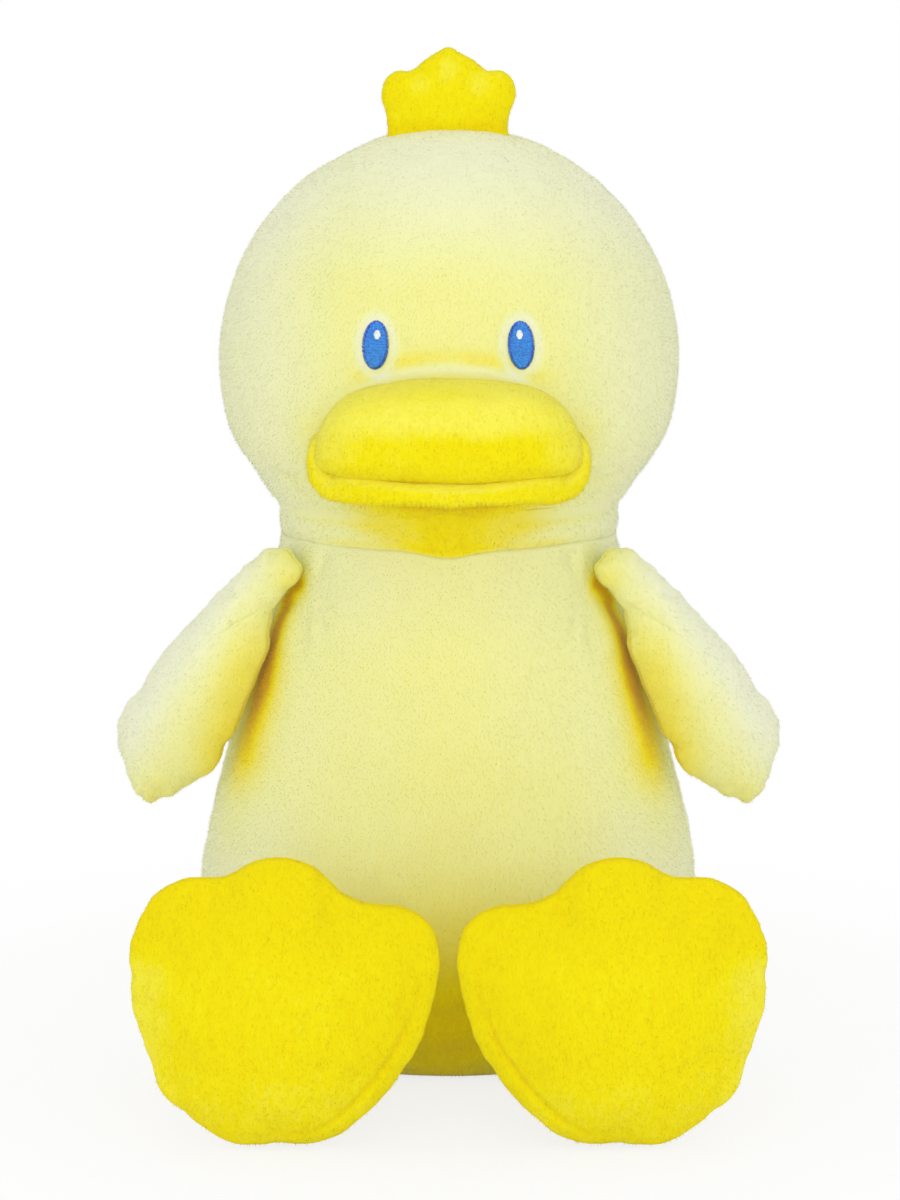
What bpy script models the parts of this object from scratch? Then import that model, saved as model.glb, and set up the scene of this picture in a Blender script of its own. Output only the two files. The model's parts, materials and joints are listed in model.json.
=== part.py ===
"""Seated plush duck: velour panels, fibre stuffing and embroidery as separate pieces.

Metres, +Z up. The duck faces -Y and its own left side is at +X. The origin lies in the middle
of the flat seat, on the surface that the duck sits on.
"""

import math

import bmesh
import bpy
from mathutils import Vector

# Cloth and seams
CLOTH = 0.0016
SEAM_GAP = 0.0003
EMBROIDERY = 0.0008
SHORTEST_EDGE = 0.000003
PAD_FULLNESS = 0.8

# Body: a pear on a flat seat
BODY_HEIGHT = 0.1525
BODY_WIDEST_LEVEL = 0.050
BODY_HALF_WIDTH = 0.0745
BODY_FRONT_DEPTH = 0.064
BODY_BACK_DEPTH = 0.060
SEAT_HALF_WIDTH = 0.052
SEAT_HALF_DEPTH = 0.044
SHOULDER_CURVE = 1.2
SEAT_CURVE = 2.2
SIDE_SEAM_DEGREES = -6.0
POUCH_HALF_WIDTH = 0.040
POUCH_HALF_DEPTH = 0.031
POUCH_HEIGHT = 0.021

# Neck band between body and head
NECK_RADIUS = 0.0498
NECK_HEIGHT = 0.0072
HEAD_CLEARANCE = 0.0006
NECK_FILL_LEDGE = 0.0010

# Head: a ball that rests in the neck band
HEAD_RADIUS = 0.068
HEAD_OPENING_RADIUS = 0.028
HEAD_BOWL_CLEARANCE = 0.0014

# Eyes, as places on the head ball
EYE_HALF_WIDTH = 0.00365
EYE_HALF_HEIGHT = 0.00655
EYE_AZIMUTH_DEGREES = 17.9
EYE_ELEVATION_DEGREES = 9.6
EYE_TILT_DEGREES = 4.0
HIGHLIGHT_HALF_WIDTH = 0.0009
HIGHLIGHT_HALF_HEIGHT = 0.0013
HIGHLIGHT_RISE = 0.0030
HIGHLIGHT_DEPTH = 0.0004
PATCH_WALL_SHARE = 0.6
PATCH_CROWN_SHARE = 0.72

# Bill: an upper dome on a wider lower lip
BILL_PLANE_FORWARD = 0.0080
BILL_ROOT_DEPTH = 0.026
UPPER_BILL_HALF_WIDTH = 0.0352
UPPER_BILL_RISE = 0.0166
UPPER_BILL_DROP = 0.0167
UPPER_BILL_REACH = 0.0265
UPPER_BILL_BELOW_HEAD = 0.0105
UPPER_BILL_TOP_POWER = 2.0
UPPER_BILL_EDGE_POWER = 4.0
LOWER_BILL_HALF_WIDTH = 0.0393
LOWER_BILL_HALF_HEIGHT = 0.0070
LOWER_BILL_CURL = 0.0060
LOWER_BILL_REACH = 0.0250
LOWER_BILL_BELOW_UPPER = 0.0142
LOWER_BILL_POWER = 2.5

# Crest on the crown of the head
CREST_HEIGHT = 0.0243
CREST_HALF_DEPTH = 0.0065
CREST_CENTRE_SHARE = (0.0, 0.33)
CREST_OUTLINE_SHARES = (
    (0.0, 1.0), (0.29, 0.87), (0.50, 0.745), (0.72, 0.69), (0.82, 0.43),
    (0.755, 0.14), (0.75, -0.20), (0.40, -0.34),
)

# Wings: paddles sewn into slits in the front panel
WING_LENGTH = 0.079
WING_FRONT_DEPTH = 0.0130
WING_BACK_DEPTH = 0.0080
WING_ROOT_RADIUS = 0.0115
WING_ROOT_STANDOFF = 0.0130
WING_BELOW_NECK = 0.0070
WING_SLIT_DEGREES = -40.0
WING_SWEEP_DEGREES = 18.0
WING_CENTRE_SHARE = (0.28, -0.40)
WING_ROOT_DEGREES = (165.0, 135.0, 105.0, 75.0)
WING_OUTLINE_SHARES = (
    (0.145, 0.020), (0.310, -0.155), (0.480, -0.350), (0.605, -0.570), (0.600, -0.740),
    (0.505, -0.860), (0.370, -0.840), (0.215, -0.740), (0.065, -0.535), (0.008, -0.290),
    (-0.030, -0.135),
)
ARMHOLE_CLEARANCE = 0.0004
ARMHOLE_DEPTH_SHARE = 0.74

# Legs: short stuffed tubes with a ball end at the hip
HIP_LEVEL = 0.036
HIP_STANDOFF = 0.0060
HIP_BALL_RADIUS = 0.0175
HIP_CLEARANCE = 0.0007
HIP_OPENING_DEGREES = 35.0
LEG_RADIUS = 0.0156
LEG_END_RADIUS = 0.0145
FOOT_REACH = 0.0560

# Feet: webbed pads, the soles towards the front
FOOT_HALF_WIDTH = 0.0437
FOOT_PAIR_GAP = 0.0024
FOOT_SOLE_DEPTH = 0.0155
FOOT_TOP_DEPTH = 0.0120
FOOT_CENTRE_SHARE = (0.0, 0.92)
FOOT_OUTLINE_SHARES = (
    (1.0, 1.07), (0.90, 0.57), (0.62, 0.19), (0.27, 0.0), (-0.06, 0.0), (-0.45, 0.20),
    (-0.80, 0.58), (-0.99, 1.10), (-0.93, 1.50), (-0.64, 1.61), (-0.34, 1.72), (0.0, 1.92),
    (0.33, 1.83), (0.62, 1.80), (0.88, 1.60),
)

# Tail: a small upturned cone at the back
TAIL_LEVEL = 0.046
TAIL_LENGTH = 0.034
TAIL_SUNK = 0.012
TAIL_HALF_WIDTH = 0.0190
TAIL_HALF_HEIGHT = 0.0125
TAIL_RISE_DEGREES = 32.0
TAIL_SWELL_SHARES = (0.90, 1.0, 0.95, 0.76, 0.44)

# How finely each form is faceted
HALF_TURN_STEPS = 12
BODY_LEVEL_STEPS = 10
HEAD_LEVEL_STEPS = 14
HEAD_CAP_STEPS = 2
NECK_STEPS = 36
NECK_ARC_STEPS = 3
WING_LOOP_POINTS = 20
FOOT_LOOP_POINTS = 28
CREST_LOOP_POINTS = 24
BILL_LOOP_POINTS = 24
EYE_LOOP_POINTS = 14
LIMB_STEPS = 16
LIMB_LEVEL_STEPS = 4
PAD_RINGS = 3
CUTTER_STEPS = 24
HEAD_CUTTER_STEPS = 40
SHARP_DEGREES = 50.0

# Colours as seen in daylight (sRGB, 0 to 1), with roughness
PALE_VELOUR = ((0.925, 0.922, 0.588), 0.92)
YELLOW_VELOUR = ((0.935, 0.862, 0.055), 0.92)
FIBRE = ((0.93, 0.93, 0.91), 1.0)
POUCH_CLOTH = ((0.86, 0.86, 0.84), 0.9)
BLUE_THREAD = ((0.216, 0.518, 0.851), 0.55)
WHITE_THREAD = ((0.94, 0.96, 0.98), 0.5)

# Places that follow from the sizes above
HEAD_SEAT_RADIUS = HEAD_RADIUS + HEAD_CLEARANCE
NECK_BOTTOM = BODY_HEIGHT + SEAM_GAP
NECK_TOP = NECK_BOTTOM + NECK_HEIGHT
NECK_INNER_RADIUS = NECK_RADIUS - CLOTH
HEAD_LEVEL = NECK_TOP + math.sqrt(HEAD_SEAT_RADIUS**2 - NECK_INNER_RADIUS**2)
HEAD_CENTRE = Vector((0, 0, HEAD_LEVEL))
FILL_INSET = CLOTH + SEAM_GAP
FOOT_ACROSS = FOOT_HALF_WIDTH + FOOT_PAIR_GAP / 2


def linear(channel):
    """The linear value of one sRGB channel."""
    if channel <= 0.04045:
        return channel / 12.92
    return ((channel + 0.055) / 1.055) ** 2.4


def make_material(name, finish):
    """A plain cloth or thread material from a daylight colour and a roughness."""
    colour, roughness = finish
    material = bpy.data.materials.new(name)
    material.use_nodes = True
    shader = material.node_tree.nodes["Principled BSDF"]
    shader.inputs["Base Color"].default_value = (*[linear(c) for c in colour], 1.0)
    shader.inputs["Roughness"].default_value = roughness
    shader.inputs["Metallic"].default_value = 0.0
    return material


def add_object(name, bm, material, parent=None):
    """Closes the mesh under construction and gives it a name, a material and a parent."""
    bmesh.ops.remove_doubles(bm, verts=bm.verts, dist=SHORTEST_EDGE)
    bmesh.ops.dissolve_degenerate(bm, edges=bm.edges, dist=SHORTEST_EDGE)
    bmesh.ops.recalc_face_normals(bm, faces=bm.faces)
    mesh = bpy.data.meshes.new(name)
    bm.to_mesh(mesh)
    bm.free()
    mesh.shade_smooth()
    mesh.set_sharp_from_angle(angle=math.radians(SHARP_DEGREES))
    mesh.materials.append(material)
    obj = bpy.data.objects.new(name, mesh)
    bpy.context.scene.collection.objects.link(obj)
    obj.parent = parent
    return obj


def add_pivot(name, place, turn=0.0, parent=None):
    """An empty on a joint's axis, turned about +Z, that carries the pieces that move there."""
    pivot = bpy.data.objects.new(name, None)
    pivot.empty_display_size = CLOTH
    pivot.location = place
    pivot.rotation_euler = (0, 0, turn)
    pivot.parent = parent
    bpy.context.scene.collection.objects.link(pivot)
    return pivot


def hide_cutter(obj):
    """Marks a shape that only cuts others."""
    obj.hide_render = True
    obj.display_type = "WIRE"
    return obj


def cut(obj, *cutters):
    """Takes each cutter's shape out of a piece."""
    for cutter in cutters:
        step = obj.modifiers.new("Cut " + cutter.name, "BOOLEAN")
        step.operation = "DIFFERENCE"
        step.object = cutter
    return obj


def bridge(bm, first, second, closed=True):
    """Faces between two rows of vertices; a row of one vertex is a pole."""
    count = max(len(first), len(second))
    for i in range(count if closed else count - 1):
        j = (i + 1) % count
        corners = [first[i % len(first)], first[j % len(first)]]
        corners += [second[j % len(second)], second[i % len(second)]]
        unique = list(dict.fromkeys(corners))
        if len(unique) > 2:
            bm.faces.new(unique)


def skin(bm, rows, closed=True):
    """Vertices for rows of points, bridged one row to the next."""
    made = [[bm.verts.new(p) for p in row] for row in rows]
    for first, second in zip(made, made[1:]):
        bridge(bm, first, second, closed)
    return made


def close_end(bm, row):
    if len(row) > 2:
        bm.faces.new(row)


def solid_from_rings(rings):
    """A closed body from rings, each end a pole or a flat cap."""
    bm = bmesh.new()
    made = skin(bm, rings)
    close_end(bm, made[0])
    close_end(bm, made[-1])
    return bm


def shell_from_rings(outer, inner):
    """A walled cup or tube: the outer skin, the inner skin and the rims that join them."""
    bm = bmesh.new()
    outside = skin(bm, outer)
    inside = skin(bm, inner)
    for end in (0, -1):
        if len(outside[end]) > 1:
            bridge(bm, outside[end], inside[end])
    return bm


def slab_from_grids(outer, inner):
    """A walled panel: an outer grid, an inner grid and a rim on all four sides."""
    bm = bmesh.new()
    outside = skin(bm, outer, closed=False)
    inside = skin(bm, inner, closed=False)
    bridge(bm, outside[0], inside[0], closed=False)
    bridge(bm, outside[-1], inside[-1], closed=False)
    for column in (0, -1):
        edge_out = [row[column] for row in outside]
        edge_in = [row[column] for row in inside]
        bridge(bm, edge_out, edge_in, closed=False)
    return bm


def smooth_loop(points, count):
    """An even closed curve of count points through a few corner points."""
    fine = []
    total = len(points)
    for i in range(total):
        before, start, end, after = (Vector(points[(i + k) % total]) for k in (-1, 0, 1, 2))
        for step in range(count):
            t = step / count
            a = 2 * start
            b = (end - before) * t
            c = (2 * before - 5 * start + 4 * end - after) * t**2
            d = (3 * start - before - 3 * end + after) * t**3
            fine.append((a + b + c + d) / 2)
    lengths = [0.0]
    for first, second in zip(fine, fine[1:] + fine[:1]):
        lengths.append(lengths[-1] + (second - first).length)
    loop = []
    at = 0
    for step in range(count):
        target = lengths[-1] * step / count
        while lengths[at + 1] < target:
            at += 1
        span = lengths[at + 1] - lengths[at]
        loop.append(fine[at].lerp(fine[(at + 1) % len(fine)], (target - lengths[at]) / span))
    return loop


def oval_loop(half_width, rise, drop, top_power, bottom_power, count):
    """A rounded outline with its own height and squareness above and below its middle."""
    loop = []
    for step in range(count):
        angle = math.tau * step / count
        across, up = math.cos(angle), math.sin(angle)
        power = top_power if up > 0 else bottom_power
        height = rise if up > 0 else drop
        x = math.copysign(abs(across) ** (2 / power), across)
        z = math.copysign(abs(up) ** (2 / power), up)
        loop.append(Vector((half_width * x, height * z)))
    return loop


def pad_rings(loop, centre, depth, inset, side, gap=0.0):
    """One side of a stuffed pad, crown to seam; side is -1 towards the front, 1 to the back."""
    rings = []
    for step in range(PAD_RINGS + 1):
        angle = math.pi / 2 * step / PAD_RINGS
        spread = math.sin(angle)
        rise = max(math.cos(angle), 0.0) ** PAD_FULLNESS * (depth - inset)
        y = side * (rise + gap)
        if step == 0:
            rings.append([Vector((centre.x, y, centre.y))])
            continue
        ring = []
        for point in loop:
            arm = point - centre
            reach = arm * (1 - inset / arm.length) * spread
            ring.append(Vector((centre.x + reach.x, y if step < PAD_RINGS else side * gap,
                                centre.y + reach.y)))
        rings.append(ring)
    return rings


def pad_panel(loop, centre, depth, side):
    """The cloth panel on one side of a pad."""
    outer = pad_rings(loop, centre, depth, 0.0, side, SEAM_GAP / 2)
    inner = pad_rings(loop, centre, depth, CLOTH, side, SEAM_GAP / 2)
    return shell_from_rings(outer, inner)


def pad_fill(loop, centre, front_depth, back_depth, inset=FILL_INSET):
    """The stuffing of a pad, or at no inset its whole outer form."""
    front = pad_rings(loop, centre, front_depth, inset, -1)
    back = pad_rings(loop, centre, back_depth, inset, 1)
    return solid_from_rings(front + back[-2::-1])


def body_section(level):
    """Half width, front depth and back depth of the pear at a level, and its wall's slope."""
    if level >= BODY_WIDEST_LEVEL:
        height = BODY_HEIGHT - BODY_WIDEST_LEVEL
        share = (level - BODY_WIDEST_LEVEL) / height
        fall = share**SHOULDER_CURVE
        ends = (NECK_RADIUS, NECK_RADIUS, NECK_RADIUS)
        steep = -SHOULDER_CURVE * share ** (SHOULDER_CURVE - 1) / height
    else:
        share = 1 - level / BODY_WIDEST_LEVEL
        fall = share**SEAT_CURVE
        ends = (SEAT_HALF_WIDTH, SEAT_HALF_DEPTH, SEAT_HALF_DEPTH)
        steep = SEAT_CURVE * share ** (SEAT_CURVE - 1) / BODY_WIDEST_LEVEL
    widest = (BODY_HALF_WIDTH, BODY_FRONT_DEPTH, BODY_BACK_DEPTH)
    sizes = [w + (e - w) * fall for w, e in zip(widest, ends)]
    return sizes, (BODY_HALF_WIDTH - ends[0]) * steep


def body_point(level, angle, inset=0.0):
    """A point on the pear, or this far inside it; angle 0 is +X, a quarter turn is the back."""
    (half_width, front, back), slope = body_section(level)
    depth = back if math.sin(angle) > 0 else front
    along = inset / math.hypot(1, slope)
    return Vector((
        (half_width - along) * math.cos(angle),
        (depth - along) * math.sin(angle),
        min(level + along * slope, BODY_HEIGHT),
    ))


def body_levels():
    """Levels of the pear's facets, closer together where the seat curves in."""
    levels = []
    for step in range(BODY_LEVEL_STEPS + 1):
        share = step / BODY_LEVEL_STEPS
        levels.append(BODY_HEIGHT * (share + share**2) / 2)
    return levels


def body_panel(start_degrees, end_degrees):
    """A front or back panel of the body between its two side seams."""
    half_gap = SEAM_GAP / 2 / BODY_FRONT_DEPTH
    start = math.radians(start_degrees) + half_gap
    end = math.radians(end_degrees) - half_gap
    angles = [start + (end - start) * i / HALF_TURN_STEPS for i in range(HALF_TURN_STEPS + 1)]
    outer = [[body_point(z, a) for a in angles] for z in body_levels()]
    inner = [[body_point(z, a, CLOTH) for a in angles] for z in body_levels()]
    for row in (inner[0], outer[0]):
        for point in row:
            point.z = 0.0
    return slab_from_grids(outer, inner)


def body_angles():
    """Directions of the body's facets, shared by panels and stuffing."""
    first = math.radians(SIDE_SEAM_DEGREES)
    back_span = math.pi - 2 * first
    front_span = math.pi + 2 * first
    angles = [first + back_span * i / HALF_TURN_STEPS for i in range(HALF_TURN_STEPS)]
    second = first + back_span
    return angles + [second + front_span * i / HALF_TURN_STEPS for i in range(HALF_TURN_STEPS)]


def seat_ring(level):
    """An outline of the flat seat, just inside the body panels' lower edge."""
    ring = []
    for angle in body_angles():
        edge = body_point(0, angle, CLOTH)
        along = edge.xy.normalized() * SEAM_GAP
        ring.append(Vector((edge.x - along.x, edge.y - along.y, level)))
    return ring


def pouch_rings(inset):
    """The pellet pouch's outer form, from its flat base to its crown."""
    base = FILL_INSET - min(inset, 0)
    rings = []
    for step in range(PAD_RINGS + 1):
        angle = math.pi / 2 * step / PAD_RINGS
        rise = base + (POUCH_HEIGHT - inset) * math.sin(angle)
        if step == PAD_RINGS:
            rings.append([Vector((0, 0, rise))])
            continue
        spread = math.cos(angle)
        rings.append([Vector(((POUCH_HALF_WIDTH - inset) * spread * math.cos(a),
                              (POUCH_HALF_DEPTH - inset) * spread * math.sin(a), rise))
                      for a in body_angles()])
    return rings


def add_body_form(material, cutters):
    """The body's whole outer form and its seam gap, which shapes what is sewn to it."""
    rings = [[body_point(z, a, -SEAM_GAP) for a in body_angles()] for z in body_levels()]
    form = hide_cutter(add_object("body_form", solid_from_rings(rings), material))
    return cut(form, *cutters)


def add_body(cloth, fibre, pouch_cloth, cutters):
    """Front, back and seat panels of the body, its stuffing and its pellet pouch."""
    back_end = 180.0 - SIDE_SEAM_DEGREES
    panels = (("torso_back_panel", SIDE_SEAM_DEGREES, back_end),
              ("torso_front_panel", back_end, 360.0 + SIDE_SEAM_DEGREES))
    for name, start, end in panels:
        cut(add_object(name, body_panel(start, end), cloth), *cutters)
    seat = solid_from_rings([seat_ring(0), seat_ring(CLOTH)])
    add_object("torso_seat_panel", seat, cloth)

    rings = [[body_point(z, a, FILL_INSET) for a in body_angles()] for z in body_levels()]
    for row, level in ((rings[0], FILL_INSET), (rings[-1], BODY_HEIGHT)):
        for point in row:
            point.z = level
    fill = add_object("torso_fill", solid_from_rings(rings), fibre)
    recess = pouch_rings(-SEAM_GAP)
    floor_ring = [Vector((p.x, p.y, 0.0)) for p in recess[0]]
    pocket = hide_cutter(add_object("pouch_pocket", solid_from_rings([floor_ring] + recess), fibre))
    cut(fill, pocket, *cutters)
    add_object("seat_pellet_pouch", solid_from_rings(pouch_rings(0.0)), pouch_cloth)


def add_neck(cloth, fibre, pivot):
    """The neck band and the ring of stuffing inside it, which together seat the head."""
    turns = [math.tau * i / NECK_STEPS for i in range(NECK_STEPS)]

    def turned(profile):
        rings = [[Vector((r * math.cos(t), r * math.sin(t), z - NECK_BOTTOM)) for t in turns]
                 for r, z in profile]
        bm = bmesh.new()
        made = skin(bm, rings)
        bridge(bm, made[-1], made[0])
        return bm

    def seat_level(radius):
        return HEAD_LEVEL - math.sqrt(HEAD_SEAT_RADIUS**2 - radius**2)

    band = [(NECK_RADIUS, NECK_BOTTOM), (NECK_RADIUS, NECK_TOP),
            (NECK_INNER_RADIUS, NECK_TOP), (NECK_INNER_RADIUS, NECK_BOTTOM)]
    add_object("neck_band", turned(band), cloth, pivot)
    outer = NECK_RADIUS - FILL_INSET
    top_inner = outer - NECK_FILL_LEDGE
    low_inner = math.sqrt(HEAD_SEAT_RADIUS**2 - (HEAD_LEVEL - NECK_BOTTOM) ** 2)
    top = seat_level(top_inner)
    fill = [(outer, NECK_BOTTOM), (outer, top)]
    for step in range(NECK_ARC_STEPS + 1):
        radius = top_inner + (low_inner - top_inner) * step / NECK_ARC_STEPS
        fill.append((radius, seat_level(radius)))
    add_object("neck_fill", turned(fill), fibre, pivot)


def head_row(radius, polar, angles):
    """A row of points on a ball about the head's centre."""
    if radius * math.sin(polar) < SHORTEST_EDGE:
        return [Vector((0, 0, radius * math.cos(polar)))]
    return [Vector((radius * math.sin(polar) * math.cos(a),
                    radius * math.sin(polar) * math.sin(a),
                    radius * math.cos(polar))) for a in angles]


def add_head(cloth, fibre, pivot):
    """The face panel, the back panel and the stuffing of the head."""
    opening = math.pi - math.asin(HEAD_OPENING_RADIUS / HEAD_RADIUS)
    polars = [opening * i / HEAD_LEVEL_STEPS for i in range(HEAD_LEVEL_STEPS + 1)]
    for name, side in (("head_front_panel", -1), ("head_back_panel", 1)):
        angles = [side * math.pi * i / HALF_TURN_STEPS for i in range(HALF_TURN_STEPS + 1)]
        shift = Vector((0, side * SEAM_GAP / 2, 0))
        grids = []
        for radius in (HEAD_RADIUS, HEAD_RADIUS - CLOTH):
            rows = [head_row(radius, polar, angles) for polar in polars]
            grids.append([[p + shift for p in row] for row in rows])
        for grid in grids:
            grid[0] = grid[0] * len(angles)
        add_object(name, slab_from_grids(*grids), cloth, pivot)
    whole_turn = [math.pi * i / HALF_TURN_STEPS for i in range(2 * HALF_TURN_STEPS)]
    span = math.pi - opening
    polars += [opening + span * (i + 1) / HEAD_CAP_STEPS for i in range(HEAD_CAP_STEPS)]
    rows = [head_row(HEAD_RADIUS - FILL_INSET, polar, whole_turn) for polar in polars]
    add_object("head_fill", solid_from_rings(rows), fibre, pivot)


def stitched_patch(half_width, half_height, across, up, tilt, low, high):
    """An oval of satin stitch that follows the head, between two distances from its centre."""
    rings = []
    shoulder = low + (high - low) * PATCH_WALL_SHARE
    heights = ((low, 1.0), (shoulder, 1.0), (high, PATCH_CROWN_SHARE))
    forward = Vector((math.sin(across) * math.cos(up), -math.cos(across) * math.cos(up),
                      math.sin(up)))
    right = Vector((math.cos(across), math.sin(across), 0))
    upward = right.cross(forward) * -1
    for distance, spread in heights:
        ring = []
        for step in range(EYE_LOOP_POINTS):
            angle = math.tau * step / EYE_LOOP_POINTS
            x = half_width * spread * math.cos(angle)
            z = half_height * spread * math.sin(angle)
            turned_x = x * math.cos(tilt) - z * math.sin(tilt)
            turned_z = x * math.sin(tilt) + z * math.cos(tilt)
            aim = forward * HEAD_RADIUS + right * turned_x + upward * turned_z
            ring.append(aim.normalized() * distance)
        rings.append(ring)
    rings.insert(0, [forward * low])
    rings.append([forward * high])
    return solid_from_rings(rings)


def add_eyes(blue, white, pivot):
    """Two embroidered ovals, each with a small pale highlight over its upper part."""
    for name, side in (("left", 1), ("right", -1)):
        across = side * math.radians(EYE_AZIMUTH_DEGREES)
        up = math.radians(EYE_ELEVATION_DEGREES)
        tilt = side * math.radians(EYE_TILT_DEGREES)
        low = HEAD_RADIUS + SEAM_GAP
        high = low + EMBROIDERY
        patch = stitched_patch(EYE_HALF_WIDTH, EYE_HALF_HEIGHT, across, up, tilt, low, high)
        add_object(name + "_eye", patch, blue, pivot)
        low = high + SEAM_GAP
        up += HIGHLIGHT_RISE / HEAD_RADIUS
        patch = stitched_patch(HIGHLIGHT_HALF_WIDTH, HIGHLIGHT_HALF_HEIGHT, across, up, tilt,
                               low, low + HIGHLIGHT_DEPTH)
        add_object(name + "_eye_highlight", patch, white, pivot)


def bill_rings(loop, reach, inset):
    """A bill half from its tip back to a root that runs on inside the head."""
    rings = pad_rings(loop, Vector((0, 0)), reach, inset, -1)
    rings.append([p + Vector((0, BILL_ROOT_DEPTH, 0)) for p in rings[-1]])
    return rings


def add_bill(cloth, fibre, pivot, head_cutter):
    """The upper bill and the wider lower bill under it, both sewn to the face."""
    upper_loop = oval_loop(UPPER_BILL_HALF_WIDTH, UPPER_BILL_RISE, UPPER_BILL_DROP,
                           UPPER_BILL_TOP_POWER, UPPER_BILL_EDGE_POWER, BILL_LOOP_POINTS)
    lower_loop = oval_loop(LOWER_BILL_HALF_WIDTH, LOWER_BILL_HALF_HEIGHT, LOWER_BILL_HALF_HEIGHT,
                           LOWER_BILL_POWER, LOWER_BILL_POWER, BILL_LOOP_POINTS)
    for point in lower_loop:
        point.y += LOWER_BILL_CURL * (point.x / LOWER_BILL_HALF_WIDTH) ** 2
    plane = -(HEAD_RADIUS + BILL_PLANE_FORWARD)
    upper_place = Vector((0, plane, -UPPER_BILL_BELOW_HEAD))
    lower_place = upper_place - Vector((0, 0, LOWER_BILL_BELOW_UPPER))
    upper_form = solid_from_rings(bill_rings(upper_loop, UPPER_BILL_REACH, -SEAM_GAP))
    upper_cutter = hide_cutter(add_object("upper_bill_form", upper_form, cloth, pivot))
    upper_cutter.location = upper_place
    halves = (
        ("upper_bill", upper_loop, UPPER_BILL_REACH, upper_place, (head_cutter,)),
        ("lower_bill", lower_loop, LOWER_BILL_REACH, lower_place, (head_cutter, upper_cutter)),
    )
    for name, loop, reach, place, cutters in halves:
        shell = shell_from_rings(bill_rings(loop, reach, 0.0), bill_rings(loop, reach, CLOTH))
        cover = add_object(name + "_cover", shell, cloth, pivot)
        core = solid_from_rings(bill_rings(loop, reach, FILL_INSET))
        fill = add_object(name + "_fill", core, fibre, pivot)
        for obj in (cover, fill):
            obj.location = place
            cut(obj, *cutters)


def add_crest(cloth, fibre, pivot, head_cutter):
    """The three-lobed crest, its foot shaped to the crown of the head."""
    right_half = [Vector(share) * CREST_HEIGHT for share in CREST_OUTLINE_SHARES]
    left_half = [Vector((-p.x, p.y)) for p in right_half[:0:-1]]
    loop = smooth_loop(right_half + left_half, CREST_LOOP_POINTS)
    centre = Vector(CREST_CENTRE_SHARE) * CREST_HEIGHT
    place = Vector((0, 0, HEAD_RADIUS))
    pieces = (
        ("crest_front_panel", pad_panel(loop, centre, CREST_HALF_DEPTH, -1), cloth),
        ("crest_back_panel", pad_panel(loop, centre, CREST_HALF_DEPTH, 1), cloth),
        ("crest_fill", pad_fill(loop, centre, CREST_HALF_DEPTH, CREST_HALF_DEPTH), fibre),
    )
    for name, shape, material in pieces:
        obj = add_object(name, shape, material, pivot)
        obj.location = place
        cut(obj, head_cutter)


def wing_place():
    """The left shoulder: the middle of the wing's root and a point on its joint's axis."""
    level = BODY_HEIGHT - WING_BELOW_NECK
    slit = body_point(level, math.radians(WING_SLIT_DEGREES))
    sweep = math.radians(WING_SWEEP_DEGREES)
    return slit + Vector((math.cos(sweep), math.sin(sweep), 0)) * WING_ROOT_STANDOFF


def wing_loop(side):
    """The wing's outline about its root, which is an arc about the joint's axis."""
    root = [Vector((math.cos(math.radians(a)), math.sin(math.radians(a)))) * WING_ROOT_RADIUS
            for a in WING_ROOT_DEGREES]
    blade = [Vector(share) * WING_LENGTH for share in WING_OUTLINE_SHARES]
    return [Vector((side * p.x, p.y)) for p in smooth_loop(root + blade, WING_LOOP_POINTS)]


def add_wing(name, side, cloth, fibre, body_form):
    """A paddle wing of two panels and stuffing, carried at its shoulder."""
    place = wing_place()
    turn = side * math.radians(WING_SWEEP_DEGREES)
    pivot = add_pivot(name + "_shoulder", (side * place.x, place.y, place.z), turn)
    loop = wing_loop(side)
    centre = Vector(WING_CENTRE_SHARE) * WING_LENGTH
    centre.x *= side
    front = pad_panel(loop, centre, WING_FRONT_DEPTH, -1)
    back = pad_panel(loop, centre, WING_BACK_DEPTH, 1)
    fill = pad_fill(loop, centre, WING_FRONT_DEPTH, WING_BACK_DEPTH)
    pieces = (("front_panel", front, cloth), ("back_panel", back, cloth), ("fill", fill, fibre))
    for piece, shape, material in pieces:
        cut(add_object(name + "_wing_" + piece, shape, material, pivot), body_form)


def add_armhole(name, side, material):
    """The round recess in the body's side that takes a wing's root."""
    place = wing_place()
    radius = WING_ROOT_RADIUS + ARMHOLE_CLEARANCE
    rings = []
    for y in (-WING_FRONT_DEPTH * ARMHOLE_DEPTH_SHARE, WING_BACK_DEPTH * ARMHOLE_DEPTH_SHARE):
        rings.append([Vector((radius * math.cos(math.tau * i / CUTTER_STEPS), y,
                              radius * math.sin(math.tau * i / CUTTER_STEPS)))
                      for i in range(CUTTER_STEPS)])
    cutter = hide_cutter(add_object(name + "_armhole", solid_from_rings(rings), material))
    cutter.location = (side * place.x, place.y, place.z)
    cutter.rotation_euler = (0, 0, side * math.radians(WING_SWEEP_DEGREES))
    return cutter


def hip_place():
    """The middle of the left leg's ball end, a little way out of the body's surface."""
    (half_width, front, _), _ = body_section(HIP_LEVEL)
    surface = -front * math.sqrt(1 - (FOOT_ACROSS / half_width) ** 2)
    return Vector((FOOT_ACROSS, surface - HIP_STANDOFF, HIP_LEVEL))


def add_ball(name, radius, place, material, steps=CUTTER_STEPS, parent=None):
    """A round cutter."""
    bm = bmesh.new()
    bmesh.ops.create_uvsphere(bm, u_segments=steps, v_segments=steps // 2, radius=radius)
    ball = hide_cutter(add_object(name, bm, material, parent))
    ball.location = place
    return ball


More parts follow.
